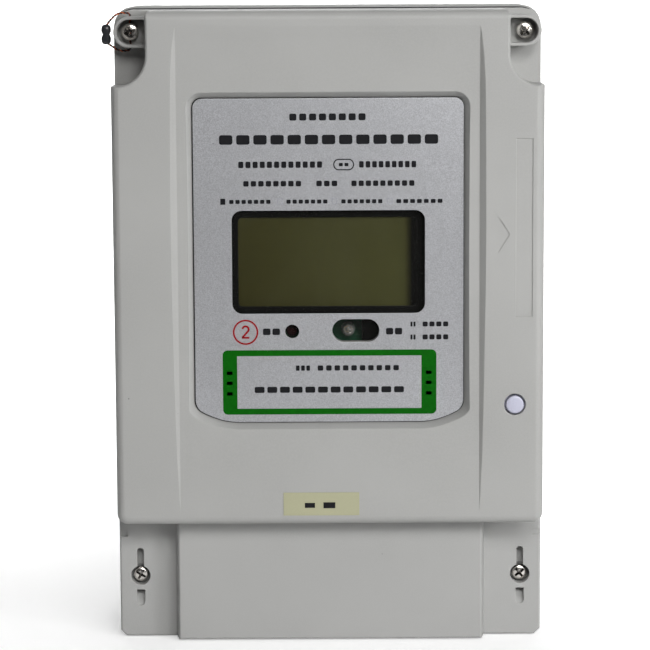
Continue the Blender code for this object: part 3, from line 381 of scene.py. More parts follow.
def blend_heights(table, z):
    """Smooth value at height z (mm) from a table of (height, value), highest first."""
    for (z1, v1), (z0, v0) in zip(table, table[1:]):
        if z >= z0:
            t = min(1, max(0, (z - z0) / (z1 - z0)))
            index = table.index((z0, v0))
            after = table[min(index + 1, len(table) - 1)]
            before = table[max(index - 2, 0)]
            slope0 = (v1 - after[1]) / (z1 - after[0]) if after[0] != z0 else (v1 - v0) / (z1 - z0)
            slope1 = (before[1] - v0) / (before[0] - z0) if before[0] != z1 else (v1 - v0) / (z1 - z0)
            run = z1 - z0
            return ((2 * t ** 3 - 3 * t ** 2 + 1) * v0 + (t ** 3 - 2 * t ** 2 + t) * run * slope0
                    + (3 * t ** 2 - 2 * t ** 3) * v1 + (t ** 3 - t ** 2) * run * slope1)
    return table[-1][1]


def panel_face(z):
    """Depth of the sunk panel's surface at height z, both in metres."""
    return COVER_FRONT - blend_heights(PANEL_DEPTHS, z / MM) * MM


# ---- meshes
def piece(name, mesh, look=None, angle=32):
    part = bpy.data.objects.new(name, mesh)
    bpy.context.scene.collection.objects.link(part)
    mesh.name = name
    mesh.materials.clear()
    if look:
        mesh.materials.append(look)
    mesh.shade_smooth()
    mesh.set_sharp_from_angle(angle=radians(angle))
    return part


def bevelled(work, edges, width, segments):
    bmesh.ops.bevel(work, geom=edges, offset=width, segments=segments, profile=0.5, affect="EDGES")


def from_work(name, work, look=None, angle=32):
    mesh = bpy.data.meshes.new(name)
    work.to_mesh(mesh)
    work.free()
    return piece(name, mesh, look, angle)


def plate(name, outlines, back, front, look=None, edge=0.0, segments=4, rear=0.0):
    """Flat outlines made thick from depth `back` to `front`; inner outlines are holes.

    `edge` and `rear` round the rims of the front and the back face.
    """
    curve = bpy.data.curves.new(name, "CURVE")
    curve.dimensions = "2D"
    curve.fill_mode = "BOTH"
    curve.extrude = (front - back) / 2
    for outline in outlines:
        spline = curve.splines.new("POLY")
        spline.points.add(len(outline) - 1)
        spline.use_cyclic_u = True
        for point, (x, z) in zip(spline.points, outline):
            point.co = (x, z, 0, 1)
    guide = bpy.data.objects.new(name, curve)
    bpy.context.scene.collection.objects.link(guide)
    graph = bpy.context.evaluated_depsgraph_get()
    mesh = bpy.data.meshes.new_from_object(guide.evaluated_get(graph))
    bpy.data.objects.remove(guide)
    bpy.data.curves.remove(curve)
    mesh.transform(Matrix.Rotation(pi / 2, 4, "X"))
    mesh.transform(Matrix.Translation((0, -(back + front) / 2, 0)))
    work = bmesh.new()
    work.from_mesh(mesh)
    bpy.data.meshes.remove(mesh)
    bmesh.ops.remove_doubles(work, verts=work.verts, dist=1e-6)
    if edge or rear:
        bmesh.ops.dissolve_limit(work, angle_limit=radians(0.5), verts=work.verts, edges=work.edges)
    for depth, radius in ((front, edge), (back, rear)):
        rim = [e for e in work.edges if all(abs(v.co.y + depth) < 1e-6 for v in e.verts)
               and e.calc_face_angle(0) > radians(45)]
        if radius:
            bevelled(work, rim, radius, segments)
    bmesh.ops.recalc_face_normals(work, faces=work.faces)
    return from_work(name, work, look)


def block(name, x0, x1, back, front, z0, z1, look=None, edge=0.0, segments=2):
    """Box with rounded edges, given by its limits along X, depth and Z."""
    work = bmesh.new()
    bmesh.ops.create_cube(work, size=1)
    bmesh.ops.scale(work, vec=(x1 - x0, front - back, z1 - z0), verts=work.verts)
    bmesh.ops.translate(work, vec=((x0 + x1) / 2, -(back + front) / 2, (z0 + z1) / 2), verts=work.verts)
    if edge:
        bevelled(work, list(work.edges), edge, segments)
    return from_work(name, work, look)


def loft(name, rings, look=None, angle=32):
    """Skin through rings of equally many points, closed by a cap at each end."""
    work = bmesh.new()
    loops = [[work.verts.new(point) for point in ring] for ring in rings]
    for near, far in zip(loops, loops[1:]):
        for i in range(len(near)):
            j = (i + 1) % len(near)
            work.faces.new((near[i], near[j], far[j], far[i]))
    work.faces.new(loops[0])
    work.faces.new(loops[-1])
    bmesh.ops.recalc_face_normals(work, faces=work.faces)
    return from_work(name, work, look, angle)


def lathe(name, profile, place, look=None, steps=48, axis="Y", angle=32, ripple=None):
    """Profile of (radius, height) turned round an axis at `place`.

    The axis points towards the viewer ("Y") or up ("Z"). `ripple(angle, height)`
    adds to the radius, for a screw thread or a knurl.
    """
    rings = []
    for radius, height in profile:
        ring = []
        for i in range(steps):
            turn = 2 * pi * i / steps
            reach = max(radius + (ripple(turn, height) if ripple else 0), 1e-6)
            a, b = reach * cos(turn), reach * sin(turn)
            ring.append(Vector((a, -height, b) if axis == "Y" else (a, b, height)) + Vector(place))
        rings.append(ring)
    return loft(name, rings, look, angle)


def lipped(name, outline_at, floor, face, radius, steps=4, over=0.1 * MM):
    """Cutter from depth `floor` whose mouth opens in a round lip at depth `face`."""
    last = radians(75)
    rings = [[(x, -floor, z) for x, z in outline_at(0)]]
    for i in range(steps + 1):
        turn = last * i / steps
        depth = face + radius * (sin(turn) - sin(last))
        rings.append([(x, -depth, z) for x, z in outline_at(radius * (1 - cos(turn)))])
    grow = radius * (1 - cos(last)) + over * sin(last) / cos(last)
    rings.append([(x, -(face + over), z) for x, z in outline_at(grow)])
    return loft(name, rings)


def combine(part, other, operation):
    step = part.modifiers.new(other.name, "BOOLEAN")
    step.operation = operation
    step.solver = "EXACT"
    step.object = other


def cut(part, *others):
    for other in others:
        combine(part, other, "DIFFERENCE")


def add(part, *others):
    for other in others:
        combine(part, other, "UNION")


def baked(part, look, angle=32):
    """Apply a part's modifiers, drop its cutters and shade it smoothly."""
    graph = bpy.context.evaluated_depsgraph_get()
    mesh = bpy.data.meshes.new_from_object(part.evaluated_get(graph))
    helpers = [step.object for step in part.modifiers if step.type == "BOOLEAN"]
    part.modifiers.clear()
    part.data = mesh
    for helper in helpers:
        bpy.data.objects.remove(helper)
    work = bmesh.new()
    work.from_mesh(mesh)
    bmesh.ops.remove_doubles(work, verts=work.verts, dist=WELD)
    bmesh.ops.dissolve_degenerate(work, dist=1e-6, edges=work.edges)
    work.to_mesh(mesh)
    work.free()
    mesh.materials.clear()
    mesh.materials.append(look)
    mesh.shade_smooth()
    mesh.set_sharp_from_angle(angle=radians(angle))
    part.modifiers.new("face_normals", "WEIGHTED_NORMAL").keep_sharp = True
    return part


def joined(name, parts, look):
    """One mesh out of several small pieces of one material."""
    work = bmesh.new()
    for part in parts:
        work.from_mesh(part.data)
        bpy.data.objects.remove(part)
    return from_work(name, work, look)


def tube(name, points, radius, look, sides=10):
    """Round wire along a path, as a mesh with closed ends."""
    last = len(points) - 1
    side = None
    rings = []
    for i, point in enumerate(points):
        along = (Vector(points[min(i + 1, last)]) - Vector(points[max(i - 1, 0)])).normalized()
        side = side or along.orthogonal().normalized()
        side = (side - along * side.dot(along)).normalized()
        other = along.cross(side)
        turns = [2 * pi * k / sides for k in range(sides)]
        rings.append([Vector(point) + radius * (side * cos(a) + other * sin(a)) for a in turns])
    return loft(name, rings, look, 60)


def smooth_path(points, per_leg=6):
    """Points on a Catmull-Rom curve through the route's own points."""
    route = []
    for leg in range(len(points) - 1):
        picks = [min(max(i, 0), len(points) - 1) for i in (leg - 1, leg, leg + 1, leg + 2)]
        a, b, c, d = (Vector(points[i]) for i in picks)
        for i in range(per_leg):
            t = i / per_leg
            bend = (2 * a - 5 * b + 4 * c - d) * t * t + (3 * b - a - 3 * c + d) * t ** 3
            route.append((2 * b + (c - a) * t + bend) / 2)
    route.append(Vector(points[-1]))
    return route


def centre_of(node):
    low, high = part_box(node)
    return (low.x + high.x) / 2, (low.z + high.z) / 2


def stand_in(part, body, slot, *nodes):
    """Let a finished piece ride on its body in place of its CAD nodes."""
    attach(part, body)
    if nodes:
        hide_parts(*nodes)
    return part


def rounder_corners(work):
    """Split the flat facets of the upright outer corners into a smoother curve."""
    def on_corner(edge):
        a, b = (vert.co for vert in edge.verts)
        upright = abs((a - b).normalized().y) > 0.99
        outer = min(abs(a.x), abs(b.x)) > 75 * MM and min(abs(a.z), abs(b.z)) > 118 * MM
        return upright and outer and radians(3) < edge.calc_face_angle(0) < radians(32)
    bevelled(work, [edge for edge in work.edges if on_corner(edge)], 0.7 * MM, 3)


def softened(node, body, slot, look, width=0.35 * MM, segments=2, rounder=False):
    """Copy of a CAD node with its flat faces joined and its edges rounded."""
    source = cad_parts[node]
    source = source if isinstance(source, bpy.types.Object) else bpy.data.objects[node]
    work = bmesh.new()
    work.from_mesh(source.data)
    bmesh.ops.transform(work, matrix=source.matrix_world, verts=work.verts)
    bmesh.ops.remove_doubles(work, verts=work.verts, dist=WELD)
    bmesh.ops.dissolve_limit(work, angle_limit=radians(1), verts=work.verts, edges=work.edges)
    if rounder:
        rounder_corners(work)
    part = from_work(node + "_finish", work, look)
    bevel = part.modifiers.new("edges", "BEVEL")
    bevel.width = width
    bevel.segments = segments
    bevel.limit_method = "ANGLE"
    bevel.angle_limit = radians(38)
    return stand_in(baked(part, look), body, slot, node)


# ---- main cover
def notch_at(side):
    """Outline of a top corner notch, grown by `grow` at its mouth."""
    def outline(grow):
        outside = COVER_HIGH.x + 2 * MM
        x, z = NOTCH_WALL + NOTCH_ARC, NOTCH_FOOT + NOTCH_ARC
        wall, top = NOTCH_WALL - grow, COVER_HIGH.z
        points = [(outside, NOTCH_FOOT - grow), (outside, top + 2 * MM), (wall - 2 * MM, top + 2 * MM),
                  (wall, top - 2.4 * MM)]
        return sided(points + arc(x, z, NOTCH_ARC + grow, 180, 270, 16), side)
    return outline


def lug_at(side, radius, inner, corner=0.0):
    """D-shaped outline round a seal screw; `corner` rounds the end by the block."""
    def outline(grow):
        x, z = SEAL_SCREW
        reach = radius + grow
        points = arc(x, z, reach, -90, 90, 20)
        if corner:
            points += arc(inner + corner, z + reach - corner, corner, 90, 180, 5)
            points += arc(inner + corner, z - reach + corner, corner, 180, 270, 5)
        else:
            points += [(inner, z + reach), (inner, z - reach)]
        return sided(points, side)
    return outline


def recess_at(grow, steps=8):
    """Window recess: round top corners and a shallow arched bottom edge."""
    half = RECESS_HALF + grow
    low = RECESS_BOTTOM - grow
    route = [(34 * MM, low), (37.5 * MM, low), (42.5 * MM + grow * 0.2, low + 0.7 * MM),
             (47.6 * MM + grow * 0.4, low + 2.4 * MM), (52 * MM + grow * 0.6, low + 4.5 * MM),
             (half - 0.5 * MM, low + 6.6 * MM), (half, low + 8.6 * MM), (half, low + 12 * MM)]
    path = smooth_path([(x, 0, z) for x, z in route[1:7]], 4)
    right = [route[0]] + [(p.x, p.z) for p in path]
    corner = 4 * MM + grow
    right += arc(half - corner, RECESS_TOP + grow - corner, corner, 0, 90, steps)
    return mirrored(right)


def make_panel_cutter():
    """Sunk middle panel: its depth swells and fades along Z, its sides flare."""
    top, bottom = PANEL_DEPTHS[0][0], PANEL_DEPTHS[-1][0]
    over = 1 * MM
    rings = []
    for i in range(61):
        height = top + (bottom - top) * i / 60
        sunk = COVER_FRONT - panel_face(height * MM)
        face = -COVER_FRONT
        wall = max(sunk, 0.02 * MM) * PANEL_FLARE
        foot = (PANEL_HALF, face + sunk, height * MM)
        high = (PANEL_HALF + 0.86 * wall, face + 0.16 * sunk, height * MM)
        lip = (PANEL_HALF + wall + 0.25 * MM, face - 0.02 * MM - 0.3 * max(-sunk, 0), height * MM)
        out = (PANEL_HALF + wall + 2.2 * MM, face - over, height * MM)
        right = [foot, high, lip, out]
        rings.append(right + [(-x, y, z) for x, y, z in reversed(right)])
    return loft("panel_cutter", rings)


def make_recess_cutter():
    """Window recess with sloping sides and a lip that follows the panel's surface."""
    rings = [[(x, -RECESS_FLOOR, z) for x, z in recess_at(0)]]
    lip = 0.5 * MM
    base_grow = 3.6 * MM * RECESS_SLOPE
    for turn in (0, 20, 40, 58):
        grow = base_grow - lip * 0.2 + lip * (1 - cos(radians(turn))) * 1.6
        sink = lip * (sin(radians(58)) - sin(radians(turn)))
        rings.append([(x, -(panel_face(z) - sink), z) for x, z in recess_at(grow)])
    rings.append([(x, -(COVER_FRONT + 1 * MM), z) for x, z in recess_at(base_grow + 3.4 * MM)])
    return loft("recess_cutter", rings)


def make_main_cover():
    """Cover shell with its notches, lugs, sunk panel, recess and openings."""
    half = COVER_HIGH.x
    low, high = COVER_LOW.z, COVER_HIGH.z
    outline = rounded(-half, half, low, high, 7 * MM, 4.4 * MM, 12)
    cover = plate("case_cover", [outline], SKIRT, COVER_FRONT, edge=COVER_EDGE, segments=8, rear=0.3 * MM)
    inner = half - COVER_SKIN
    right = [(inner, low + COVER_SKIN), (inner, NOTCH_FOOT - COVER_SKIN),
             (NOTCH_WALL - COVER_SKIN, NOTCH_FOOT - COVER_SKIN), (NOTCH_WALL - COVER_SKIN, high - COVER_SKIN)]
    cut(cover, plate("hollow", [mirrored(right)], SKIRT - 1 * MM, INNER_FACE))
    cut(cover, make_panel_cutter(), make_recess_cutter())
    for side in (-1, 1):
        step = 0.3 * MM
        wing = sorted((side * 66 * MM, side * (inner - step)))
        cut(cover, block("wing", *wing, INNER_FACE - 1 * MM, WING_FACE,
                         low + COVER_SKIN + step, NOTCH_FOOT - COVER_SKIN - step))
        cut(cover, lipped("notch", notch_at(side), NOTCH_FLOOR, COVER_FRONT, 1.3 * MM, 5))
        lug = lug_at(side, LUG_RADIUS, NOTCH_WALL - 1.5 * MM)(0)
        add(cover, plate("lug", [lug], NOTCH_FLOOR - 1 * MM, LUG_TOP, edge=0.45 * MM))
        pocket = lug_at(side, LUG_RADIUS - LUG_WALL, NOTCH_WALL + 0.5 * MM, 1.2 * MM)
        cut(cover, lipped("lug_pocket", pocket, LUG_SEAT, LUG_TOP, 0.4 * MM))
        x, z = side * SEAL_SCREW[0], SEAL_SCREW[1]
        cut(cover, plate("screw_hole", [circle(x, z, 2.1 * MM, 24)], SKIRT - 1 * MM, LUG_SEAT + 1 * MM))
        bore = [(WIRE_HOLE, z - 7 * MM), (WIRE_HOLE, z + 7 * MM)]
        cut(cover, lathe("wire_hole", bore, (x, -WIRE_DEPTH, 0), steps=16, axis="Z"))
    pane = rounded(*PANE_BOX, 2 * MM, steps=4)
    cut(cover, plate("pane_seat", [pane], RECESS_FLOOR - 1.8 * MM, RECESS_FLOOR + 1 * MM))
    x0, x1, z0, z1 = LCD_CUTOUT
    wide = 1 * MM
    view = rounded(x0 - wide, x1 + wide, z0 - wide, z1 + wide, 4 * MM)
    cut(cover, plate("display_opening", [view], INNER_FACE - 1 * MM, RECESS_FLOOR))
    cut(cover, plate("pulse_opening", [circle(*PULSE_HOLE, 3.2 * MM)], INNER_FACE - 1 * MM, RECESS_FLOOR))
    x0, x1, z0, z1 = IR_CUTOUT
    cut(cover, plate("infrared_opening", [rounded(x0, x1, z0, z1, 4.6 * MM)], INNER_FACE - 1 * MM, RECESS_FLOOR))
    hole = lambda grow: circle(*BUTTON, BUTTON_HOLE + grow, 64)
    cut(cover, lipped("button_opening", hole, WING_FACE - 1 * MM, COVER_FRONT, 0.35 * MM))
    x0, x1, z0, z1 = SLOT_MARK
    slot = lambda grow: rectangle(x0 - grow, x1 + grow, z0 - grow, z1 + grow)
    cut(cover, lipped("slot_mark", slot, COVER_FRONT - 0.4 * MM, COVER_FRONT, 0.18 * MM, 3))
    cut(cover, make_arrow_cutter())
    return stand_in(baked(cover, CASE, 22), "main_cover", "case_grey", "main_cover")


def make_gasket():
    """Rubber seal that shows as a thin dark line between the cover and the base."""
    low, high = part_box("cover_gasket")
    proud = 0.45 * MM
    half = COVER_HIGH.x + proud * 0.6
    wide = 2.8 * MM
    bottom, top = COVER_LOW.z + 0.2 * MM, COVER_HIGH.z + proud
    outer = rounded(-half, half, bottom, top, 7.3 * MM, 3 * MM)
    inner = rounded(-half + wide, half - wide, bottom + wide, top - wide, 4.4 * MM, 1 * MM)
    ring = plate("gasket_ring", [outer, inner], -high.y, -low.y, RUBBER, edge=0.3 * MM, rear=0.3 * MM)
    stand_in(ring, "meter_frame", "rubber", "cover_gasket")


def make_arrow_cutter():
    """Thin V groove in the shape of an arrow head, pointing at the card slot mark."""
    (x0, z0), (x1, z1), (x2, z2) = ARROW_MARK
    wide = 0.75 * MM
    outline = [(x0, z0), (x1, z1), (x2, z2), (x2, z2 - wide * 1.9), (x1 - wide * 1.25, z1), (x0, z0 + wide * 1.9)]
    return plate("arrow_mark", [outline], COVER_FRONT - 0.35 * MM, COVER_FRONT + 1 * MM)


# ---- printed plate
def make_faceplate():
    """Silver plate over a dark sheet that paints the shade of the gap round it as a thin line."""
    x0, x1, z0, z1 = IR_CUTOUT
    holes = [rounded(*LCD_CUTOUT, 4 * MM), circle(*PULSE_HOLE, 2.8 * MM), rounded(x0, x1, z0, z1, 4.6 * MM)]
    rim = [(x + 0.05 * MM, z - 0.1 * MM) for x, z in recess_at(-0.45 * MM)]
    plate_part = plate("printed_plate", [rim] + holes, PLATE_FRONT - 0.8 * MM, PLATE_FRONT, edge=0.12 * MM,
                       segments=2)
    # dark sheet under the plate's rim: painted shade in the gap between the plate and the recess wall
    under = PLATE_FRONT - 0.75 * MM
    gap_shade_sheet = plate("plate_gap_shade", [recess_at(-0.06 * MM), recess_at(-3 * MM)], under - 0.04 * MM, under, RUBBER)
    stand_in(gap_shade_sheet, "main_cover", "rubber")
    return stand_in(baked(plate_part, SILVER), "main_cover", "plate_silver", "faceplate")


def print_layer(name, outlines_list, look):
    """Printed marks: thin slabs on the faceplate, all of one ink."""
    slabs = [plate("slab", outlines, PLATE_FRONT - 0.03 * MM, PLATE_FRONT + 0.035 * MM)
             for outlines in outlines_list]
    return stand_in(joined(name, slabs, look), "main_cover", "plate_silver")


def dashes(x0, x1, z0, z1, count, fill=0.72, tall=0.5):
    """Row of plain rounded dashes in place of a line of print, in millimetres."""
    pitch = (x1 - x0) / count
    mid = (z0 + z1) / 2
    half = (z1 - z0) * tall / 2
    wide = pitch * fill / 2
    marks = []
    for i in range(count):
        x = x0 + pitch * (i + 0.5)
        radius = min(half, wide) * 0.45
        marks.append([rounded((x - wide) * MM, (x + wide) * MM, (mid - half) * MM, (mid + half) * MM,
                              radius * MM, steps=3)])
    return marks


def stroke(points, width):
    """Outline of a line of even width through points in the front view."""
    left, right = [], []
    count = len(points)
    for i, (x, z) in enumerate(points):
        ahead = points[min(i + 1, count - 1)]
        behind = points[max(i - 1, 0)]
        along = Vector((ahead[0] - behind[0], ahead[1] - behind[1])).normalized()
        left.append((x - along.y * width / 2, z + along.x * width / 2))
        right.append((x + along.y * width / 2, z - along.x * width / 2))
    return left + right[::-1]


def make_prints():
    """All the plate's marks: rows of dashes, an oval, check squares, a frame and a ring."""
    rows = [(-15.9, 15.5, 83.4, 88.9, 8), (-44.1, 44.5, 73.8, 80.6, 13, 0.78, 0.56),
            (-36.2, -2.0, 64.7, 69.8, 12, 0.7, 0.5), (11.9, 35.4, 64.7, 69.8, 9, 0.7, 0.5),
            (-34.3, -10.4, 57.5, 61.9, 8), (-5.2, 4.0, 57.5, 61.9, 3), (8.8, 34.7, 57.5, 61.9, 9)]
    ratings = ((-39.9, -22.7), (-17.1, 0), (4.8, 21.9), (26.7, 45.9))
    rows += [(x0, x1, 50.9, 54.1, 7, 0.7, 0.5) for x0, x1 in ratings]
    rows += [(-26.9, -19.3, -2.5, 2.8, 2, 0.8, 0.5), (22.5, 29.7, -2.5, 2.8, 2, 0.8, 0.5)]
    for low, high in ((1.2, 4.8), (-4.1, -0.4)):
        rows += [(32.5, 34.9, low, high, 2, 0.7, 0.55), (37.2, 48.2, low, high, 4, 0.75, 0.55)]
    rows += [(-13.7, -7.4, -16.6, -12.7, 3, 0.7, 0.55), (-5.2, 28.6, -16.6, -12.7, 10, 0.66, 0.55),
             (-30.6, 30.6, -25.7, -21.2, 12, 0.78, 0.55)]
    black = [mark for row in rows for mark in dashes(*row)]
    black += [[rounded(*mm(-43.1, -41.1, 51.4, 53.8, 0.1), steps=1)]]
    for x in (-40.05, 40.05):
        for z in (-16.6, -20.7, -25.0):
            black += dashes(x - 1.3, x + 1.3, z - 1.4, z + 1.4, 1, 0.9, 0.5)
    oval = rounded(*mm(2.0, 10.3, 64.9, 69.5, 2.2))
    hole = rounded(*mm(2.45, 9.85, 65.35, 69.05, 1.8))
    black += [[oval, hole]] + dashes(3.9, 8.4, 66.1, 68.3, 2, 0.7, 0.6)
    print_layer("print_black", black, INK_BLACK)
    faint = []
    for x0 in (-20.3, 1.4, 23.5):
        faint.append([rectangle(x0 * MM, (x0 + 2) * MM, 51.4 * MM, 53.8 * MM),
                      rectangle((x0 + 0.2) * MM, (x0 + 1.8) * MM, 51.6 * MM, 53.6 * MM)])
    print_layer("print_faint", faint, INK_FAINT)
    green = [[rounded(*mm(-42.8, 43.1, -33.5, -7.3, 2)),
              rounded(*mm(-37.0, 37.1, -31.1, -9.7, 0.15), steps=1)]]
    print_layer("print_green", green, INK_GREEN)
    x, z = -33.5 * MM, 0
    ring = [[circle(x, z, 5.1 * MM, 72), circle(x, z, 4.42 * MM, 72)]]
    bow = arc(x, z + 1.15 * MM, 1.25 * MM, 170, -32, 14)
    figure = bow + [(x - 1.35 * MM, z - 2.2 * MM)]
    ring += [[stroke(figure, 0.78 * MM)], [rectangle(x - 1.5 * MM, x + 1.5 * MM, z - 2.6 * MM, z - 1.85 * MM)]]
    print_layer("print_red", ring, INK_RED)


def make_sticker():
    """Paper label that follows the panel's slope, with a plain printed mark."""
    low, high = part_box("type_sticker")
    def sheet(name, x0, x1, z0, z1, lift, thick, look):
        top, bottom = [], []
        for i in range(7):
            z = z0 + (z1 - z0) * i / 6
            depth = min(panel_face(z) + lift, -low.y)
            top.append((x0, x1, -depth, z))
            bottom.append(-(depth - thick))
        rings = []
        for (left, right, front, z), back in zip(top, bottom):
            rings.append([(left, front, z), (right, front, z), (right, back, z), (left, back, z)])
        return loft(name, rings, look)
    label = sheet("paper_label", low.x, high.x, low.z + 0.1 * MM, high.z - 0.1 * MM, 0.2 * MM, 0.17 * MM, KHAKI)
    stand_in(label, "main_cover", "sticker_khaki", "type_sticker")
    marks = []
    for x0, x1, z0, z1 in ((-10.1, -6.0, -71.0, -69.0), (-2.6, 2.2, -71.2, -68.8)):
        marks.append(sheet("mark", x0 * MM, x1 * MM, z0 * MM, z1 * MM, 0.225 * MM, 0.1 * MM, INK_BLACK))
    stand_in(joined("label_print", marks, INK_BLACK), "main_cover", "sticker_khaki")


# ---- screws
def cross_cutter(name, place, top, floor, reach, width, turn):
    """Phillips recess: four tapering wings and a pointed middle."""
    rings = []
    for depth, size in ((floor - 0.5 * MM, 0.12), (floor, 0.42), (top - 0.1 * MM, 1.0), (top + 0.6 * MM, 1.08)):
        outline = []
        for quarter in range(4):
            a = radians(90 * quarter + turn)
            for along, across in ((width, -width), (reach * size, -width * 0.72), (reach * size, width * 0.72)):
                along = max(along, width)
                outline.append((along * cos(a) - across * sin(a), along * sin(a) + across * cos(a)))
        rings.append([(place[0] + px, -depth, place[1] + pz) for px, pz in outline])
    return loft(name, rings)


def thread_ripple(pitch, height, start, end):
    def ripple(turn, along):
        if not start < along < end:
            return 0
        phase = (along / pitch + turn / (2 * pi)) % 1
        return height * (1 - abs(2 * phase - 1)) - height / 2
    return ripple


def make_screw(name, place, seat, head_radius, head_height, shank, length, body, slot, node, turn=0.0,
               drive_floor=0.3, cross=True, look=None):
    """Pan-head screw that points away from the viewer, with a cut drive and a thread."""
    look = look or NICKEL
    where = (place[0], -seat, place[1])
    dome = min(0.42 * head_height, 0.75 * MM)
    profile = [(0, head_height)]
    for i in range(1, 9):
        a = radians(90 * i / 8)
        profile.append((head_radius * sin(a) ** 0.9, head_height - dome * (1 - cos(a))))
    profile += [(head_radius, 0.15 * MM), (head_radius - 0.15 * MM, 0), (shank * 1.02, 0)]
    head = lathe(name, profile + [(shank * 1.02, -0.6 * MM), (0, -0.6 * MM)], where, steps=56)
    top = seat + head_height
    if cross:
        cut(head, cross_cutter("drive", place, top, seat + drive_floor * head_height, 0.74 * head_radius,
                               0.185 * head_radius, turn))
    else:
        x, z = place
        slot_part = block("drive", x - head_radius * 1.2, x + head_radius * 1.2, seat + 0.45 * head_height,
                          top + 1 * MM, z - head_radius * 0.16, z + head_radius * 0.16)
        cut(head, slot_part)
    head = baked(head, look, 35)
    pitch = 0.8 * MM if shank > 1.5 * MM else 0.5 * MM
    steps = int(length / (pitch / 5))
    ripple = thread_ripple(pitch, shank * 0.24, -length + shank, -1.2 * MM)
    profile = [(0, -0.5 * MM)]
    for i in range(steps + 1):
        along = -0.5 * MM - (length - shank - 0.5 * MM) * i / steps
        profile.append((shank * 0.86, along))
    profile += [(0.35 * shank, -length), (0, -length)]
    shaft = lathe("shaft", profile, where, steps=20, angle=60, ripple=ripple)
    merged = joined(name, [head, shaft], look)
    return stand_in(merged, body, slot, node)


# ---- seal
def make_seal():
    """Two twisted strands from the seal through the left lug, and the crimped seal."""
    x, z = -SEAL_SCREW[0], SEAL_SCREW[1]
    above = ((-88.6, -57.7, 121.6), (-88.2, -57.7, 122.7), (-86.6, -57.9, 124.8), (-83.9, -57.5, 127.0),
             (-80.6, -56.5, 127.3))
    below = ((-80.6, -56.5, 112.3), (-83.6, -57.5, 112.5), (-86.2, -57.9, 114.0), (-88.0, -57.7, 115.3),
             (-88.6, -57.7, 116.2))
    points = [Vector(mm(*place)) for place in above]
    points += [Vector((x, -WIRE_DEPTH, z + 9 * MM * part)) for part in (0.72, 0.36, 0, -0.36, -0.72)]
    points += [Vector(mm(*place)) for place in below]
    path = smooth_path(points, 24)
    strands = {0: [], pi: []}
    travelled = 0
    side = None
    for i, point in enumerate(path):
        ahead, behind = path[min(i + 1, len(path) - 1)], path[max(i - 1, 0)]
        along = (ahead - behind).normalized()
        side = along.orthogonal().normalized() if side is None else (side - along * side.dot(along)).normalized()
        other = along.cross(side)
        travelled += (point - behind).length
        for phase, strand in strands.items():
            a = 2 * pi * travelled / TWIST + phase
            strand.append(point + STRAND_SHIFT * (side * cos(a) + other * sin(a)))
    stand_in(tube("seal_strand_orange", strands[0], STRAND_RADIUS, STRAND, 8), "main_cover", "copper", "seal_wire")
    stand_in(tube("seal_strand_dark", strands[pi], 0.24 * MM, BLACK, 8), "main_cover", "copper")
    low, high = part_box("seal_body")
    middle = (low + high) / 2
    half = (high - low) / 2
    rings = []
    count = 14
    for i in range(count + 1):
        t = -1 + 2 * i / count
        ease = (1 - abs(t) ** 5) ** 0.5 * 0.9 + 0.1
        dent = 1 - 0.3 * max(0, 1 - abs(t) * 3.2)
        ring = []
        for k in range(20):
            a = 2 * pi * k / 20
            across, deep = (copysign(abs(part) ** 0.6, part) for part in (cos(a), sin(a)))
            ring.append(middle + Vector((half.x * ease * dent * across, half.y * ease * deep, half.z * t)))
        rings.append(ring)
    seal = loft("crimped_seal", rings, angle=50)
    for sign in (1, -1):
        tip = middle.z + sign * half.z
        ends = sorted((tip, tip - sign * 1.6 * MM))
        bore = [(0.75 * MM, ends[0] - 0.01 * MM), (0.75 * MM, ends[1] + 0.5 * MM)]
        cut(seal, lathe("throat", bore, (middle.x, middle.y, 0), steps=16, axis="Z"))
    stand_in(baked(seal, SEAL_PLASTIC, 50), "main_cover", "black_plastic", "seal_body")


# ---- terminal cover
def make_terminal_cover():
    """Lid over the terminals: chamfered wings, a raised middle and two fixings."""
    half, low, high = LID_HIGH.x, LID_LOW.z, LID_HIGH.z
    back = -LID_HIGH.y
    chamfer = 2.4 * MM
    right = [(half - chamfer, low), (half, low + chamfer), (half, high)]
    lid = plate("terminal_lid", [mirrored(right)], back, WING_FRONT, edge=1 * MM, segments=5, rear=0.3 * MM)
    add(lid, make_bulge())
    inner = half - 2.4 * MM
    floor, top = low + 2.4 * MM, high - 2.2 * MM
    cut(lid, plate("lid_hollow", [rectangle(-inner, inner, floor, top)], back - 1 * MM, WING_FRONT - 2.4 * MM))
    cut(lid, block("bulge_hollow", -CENTRE_HALF + 4.2 * MM, CENTRE_HALF - 4.2 * MM, WING_FRONT - 4 * MM,
                   -LID_LOW.y - 2.4 * MM, floor, top))
    for side in (-1, 1):
        make_lid_fixing(lid, side)
    return stand_in(baked(lid, LID, 24), "terminal_cover", "case_grey", "terminal_cover")


def make_bulge():
    """Raised middle of the terminal cover, drafted at its sides and rounded in front."""
    front = -LID_LOW.y
    radius = 1.1 * MM
    rings = []
    stations = [(WING_FRONT - 2 * MM, 0.4 * MM, 0.35 * MM), (front - radius, -CENTRE_DRAFT, 0.35 * MM)]
    for i in range(1, 7):
        a = radians(15 * i)
        stations.append((front - radius * (1 - sin(a)), -CENTRE_DRAFT - radius * (1 - cos(a)),
                         0.35 * MM + radius * (1 - cos(a))))
    for depth, shift, drop in stations:
        outline = rectangle(-CENTRE_HALF - shift, CENTRE_HALF + shift, LID_LOW.z + drop, LID_HIGH.z - 0.3 * MM)
        rings.append([(x, -depth, z) for x, z in outline])
    return loft("bulge", rings)


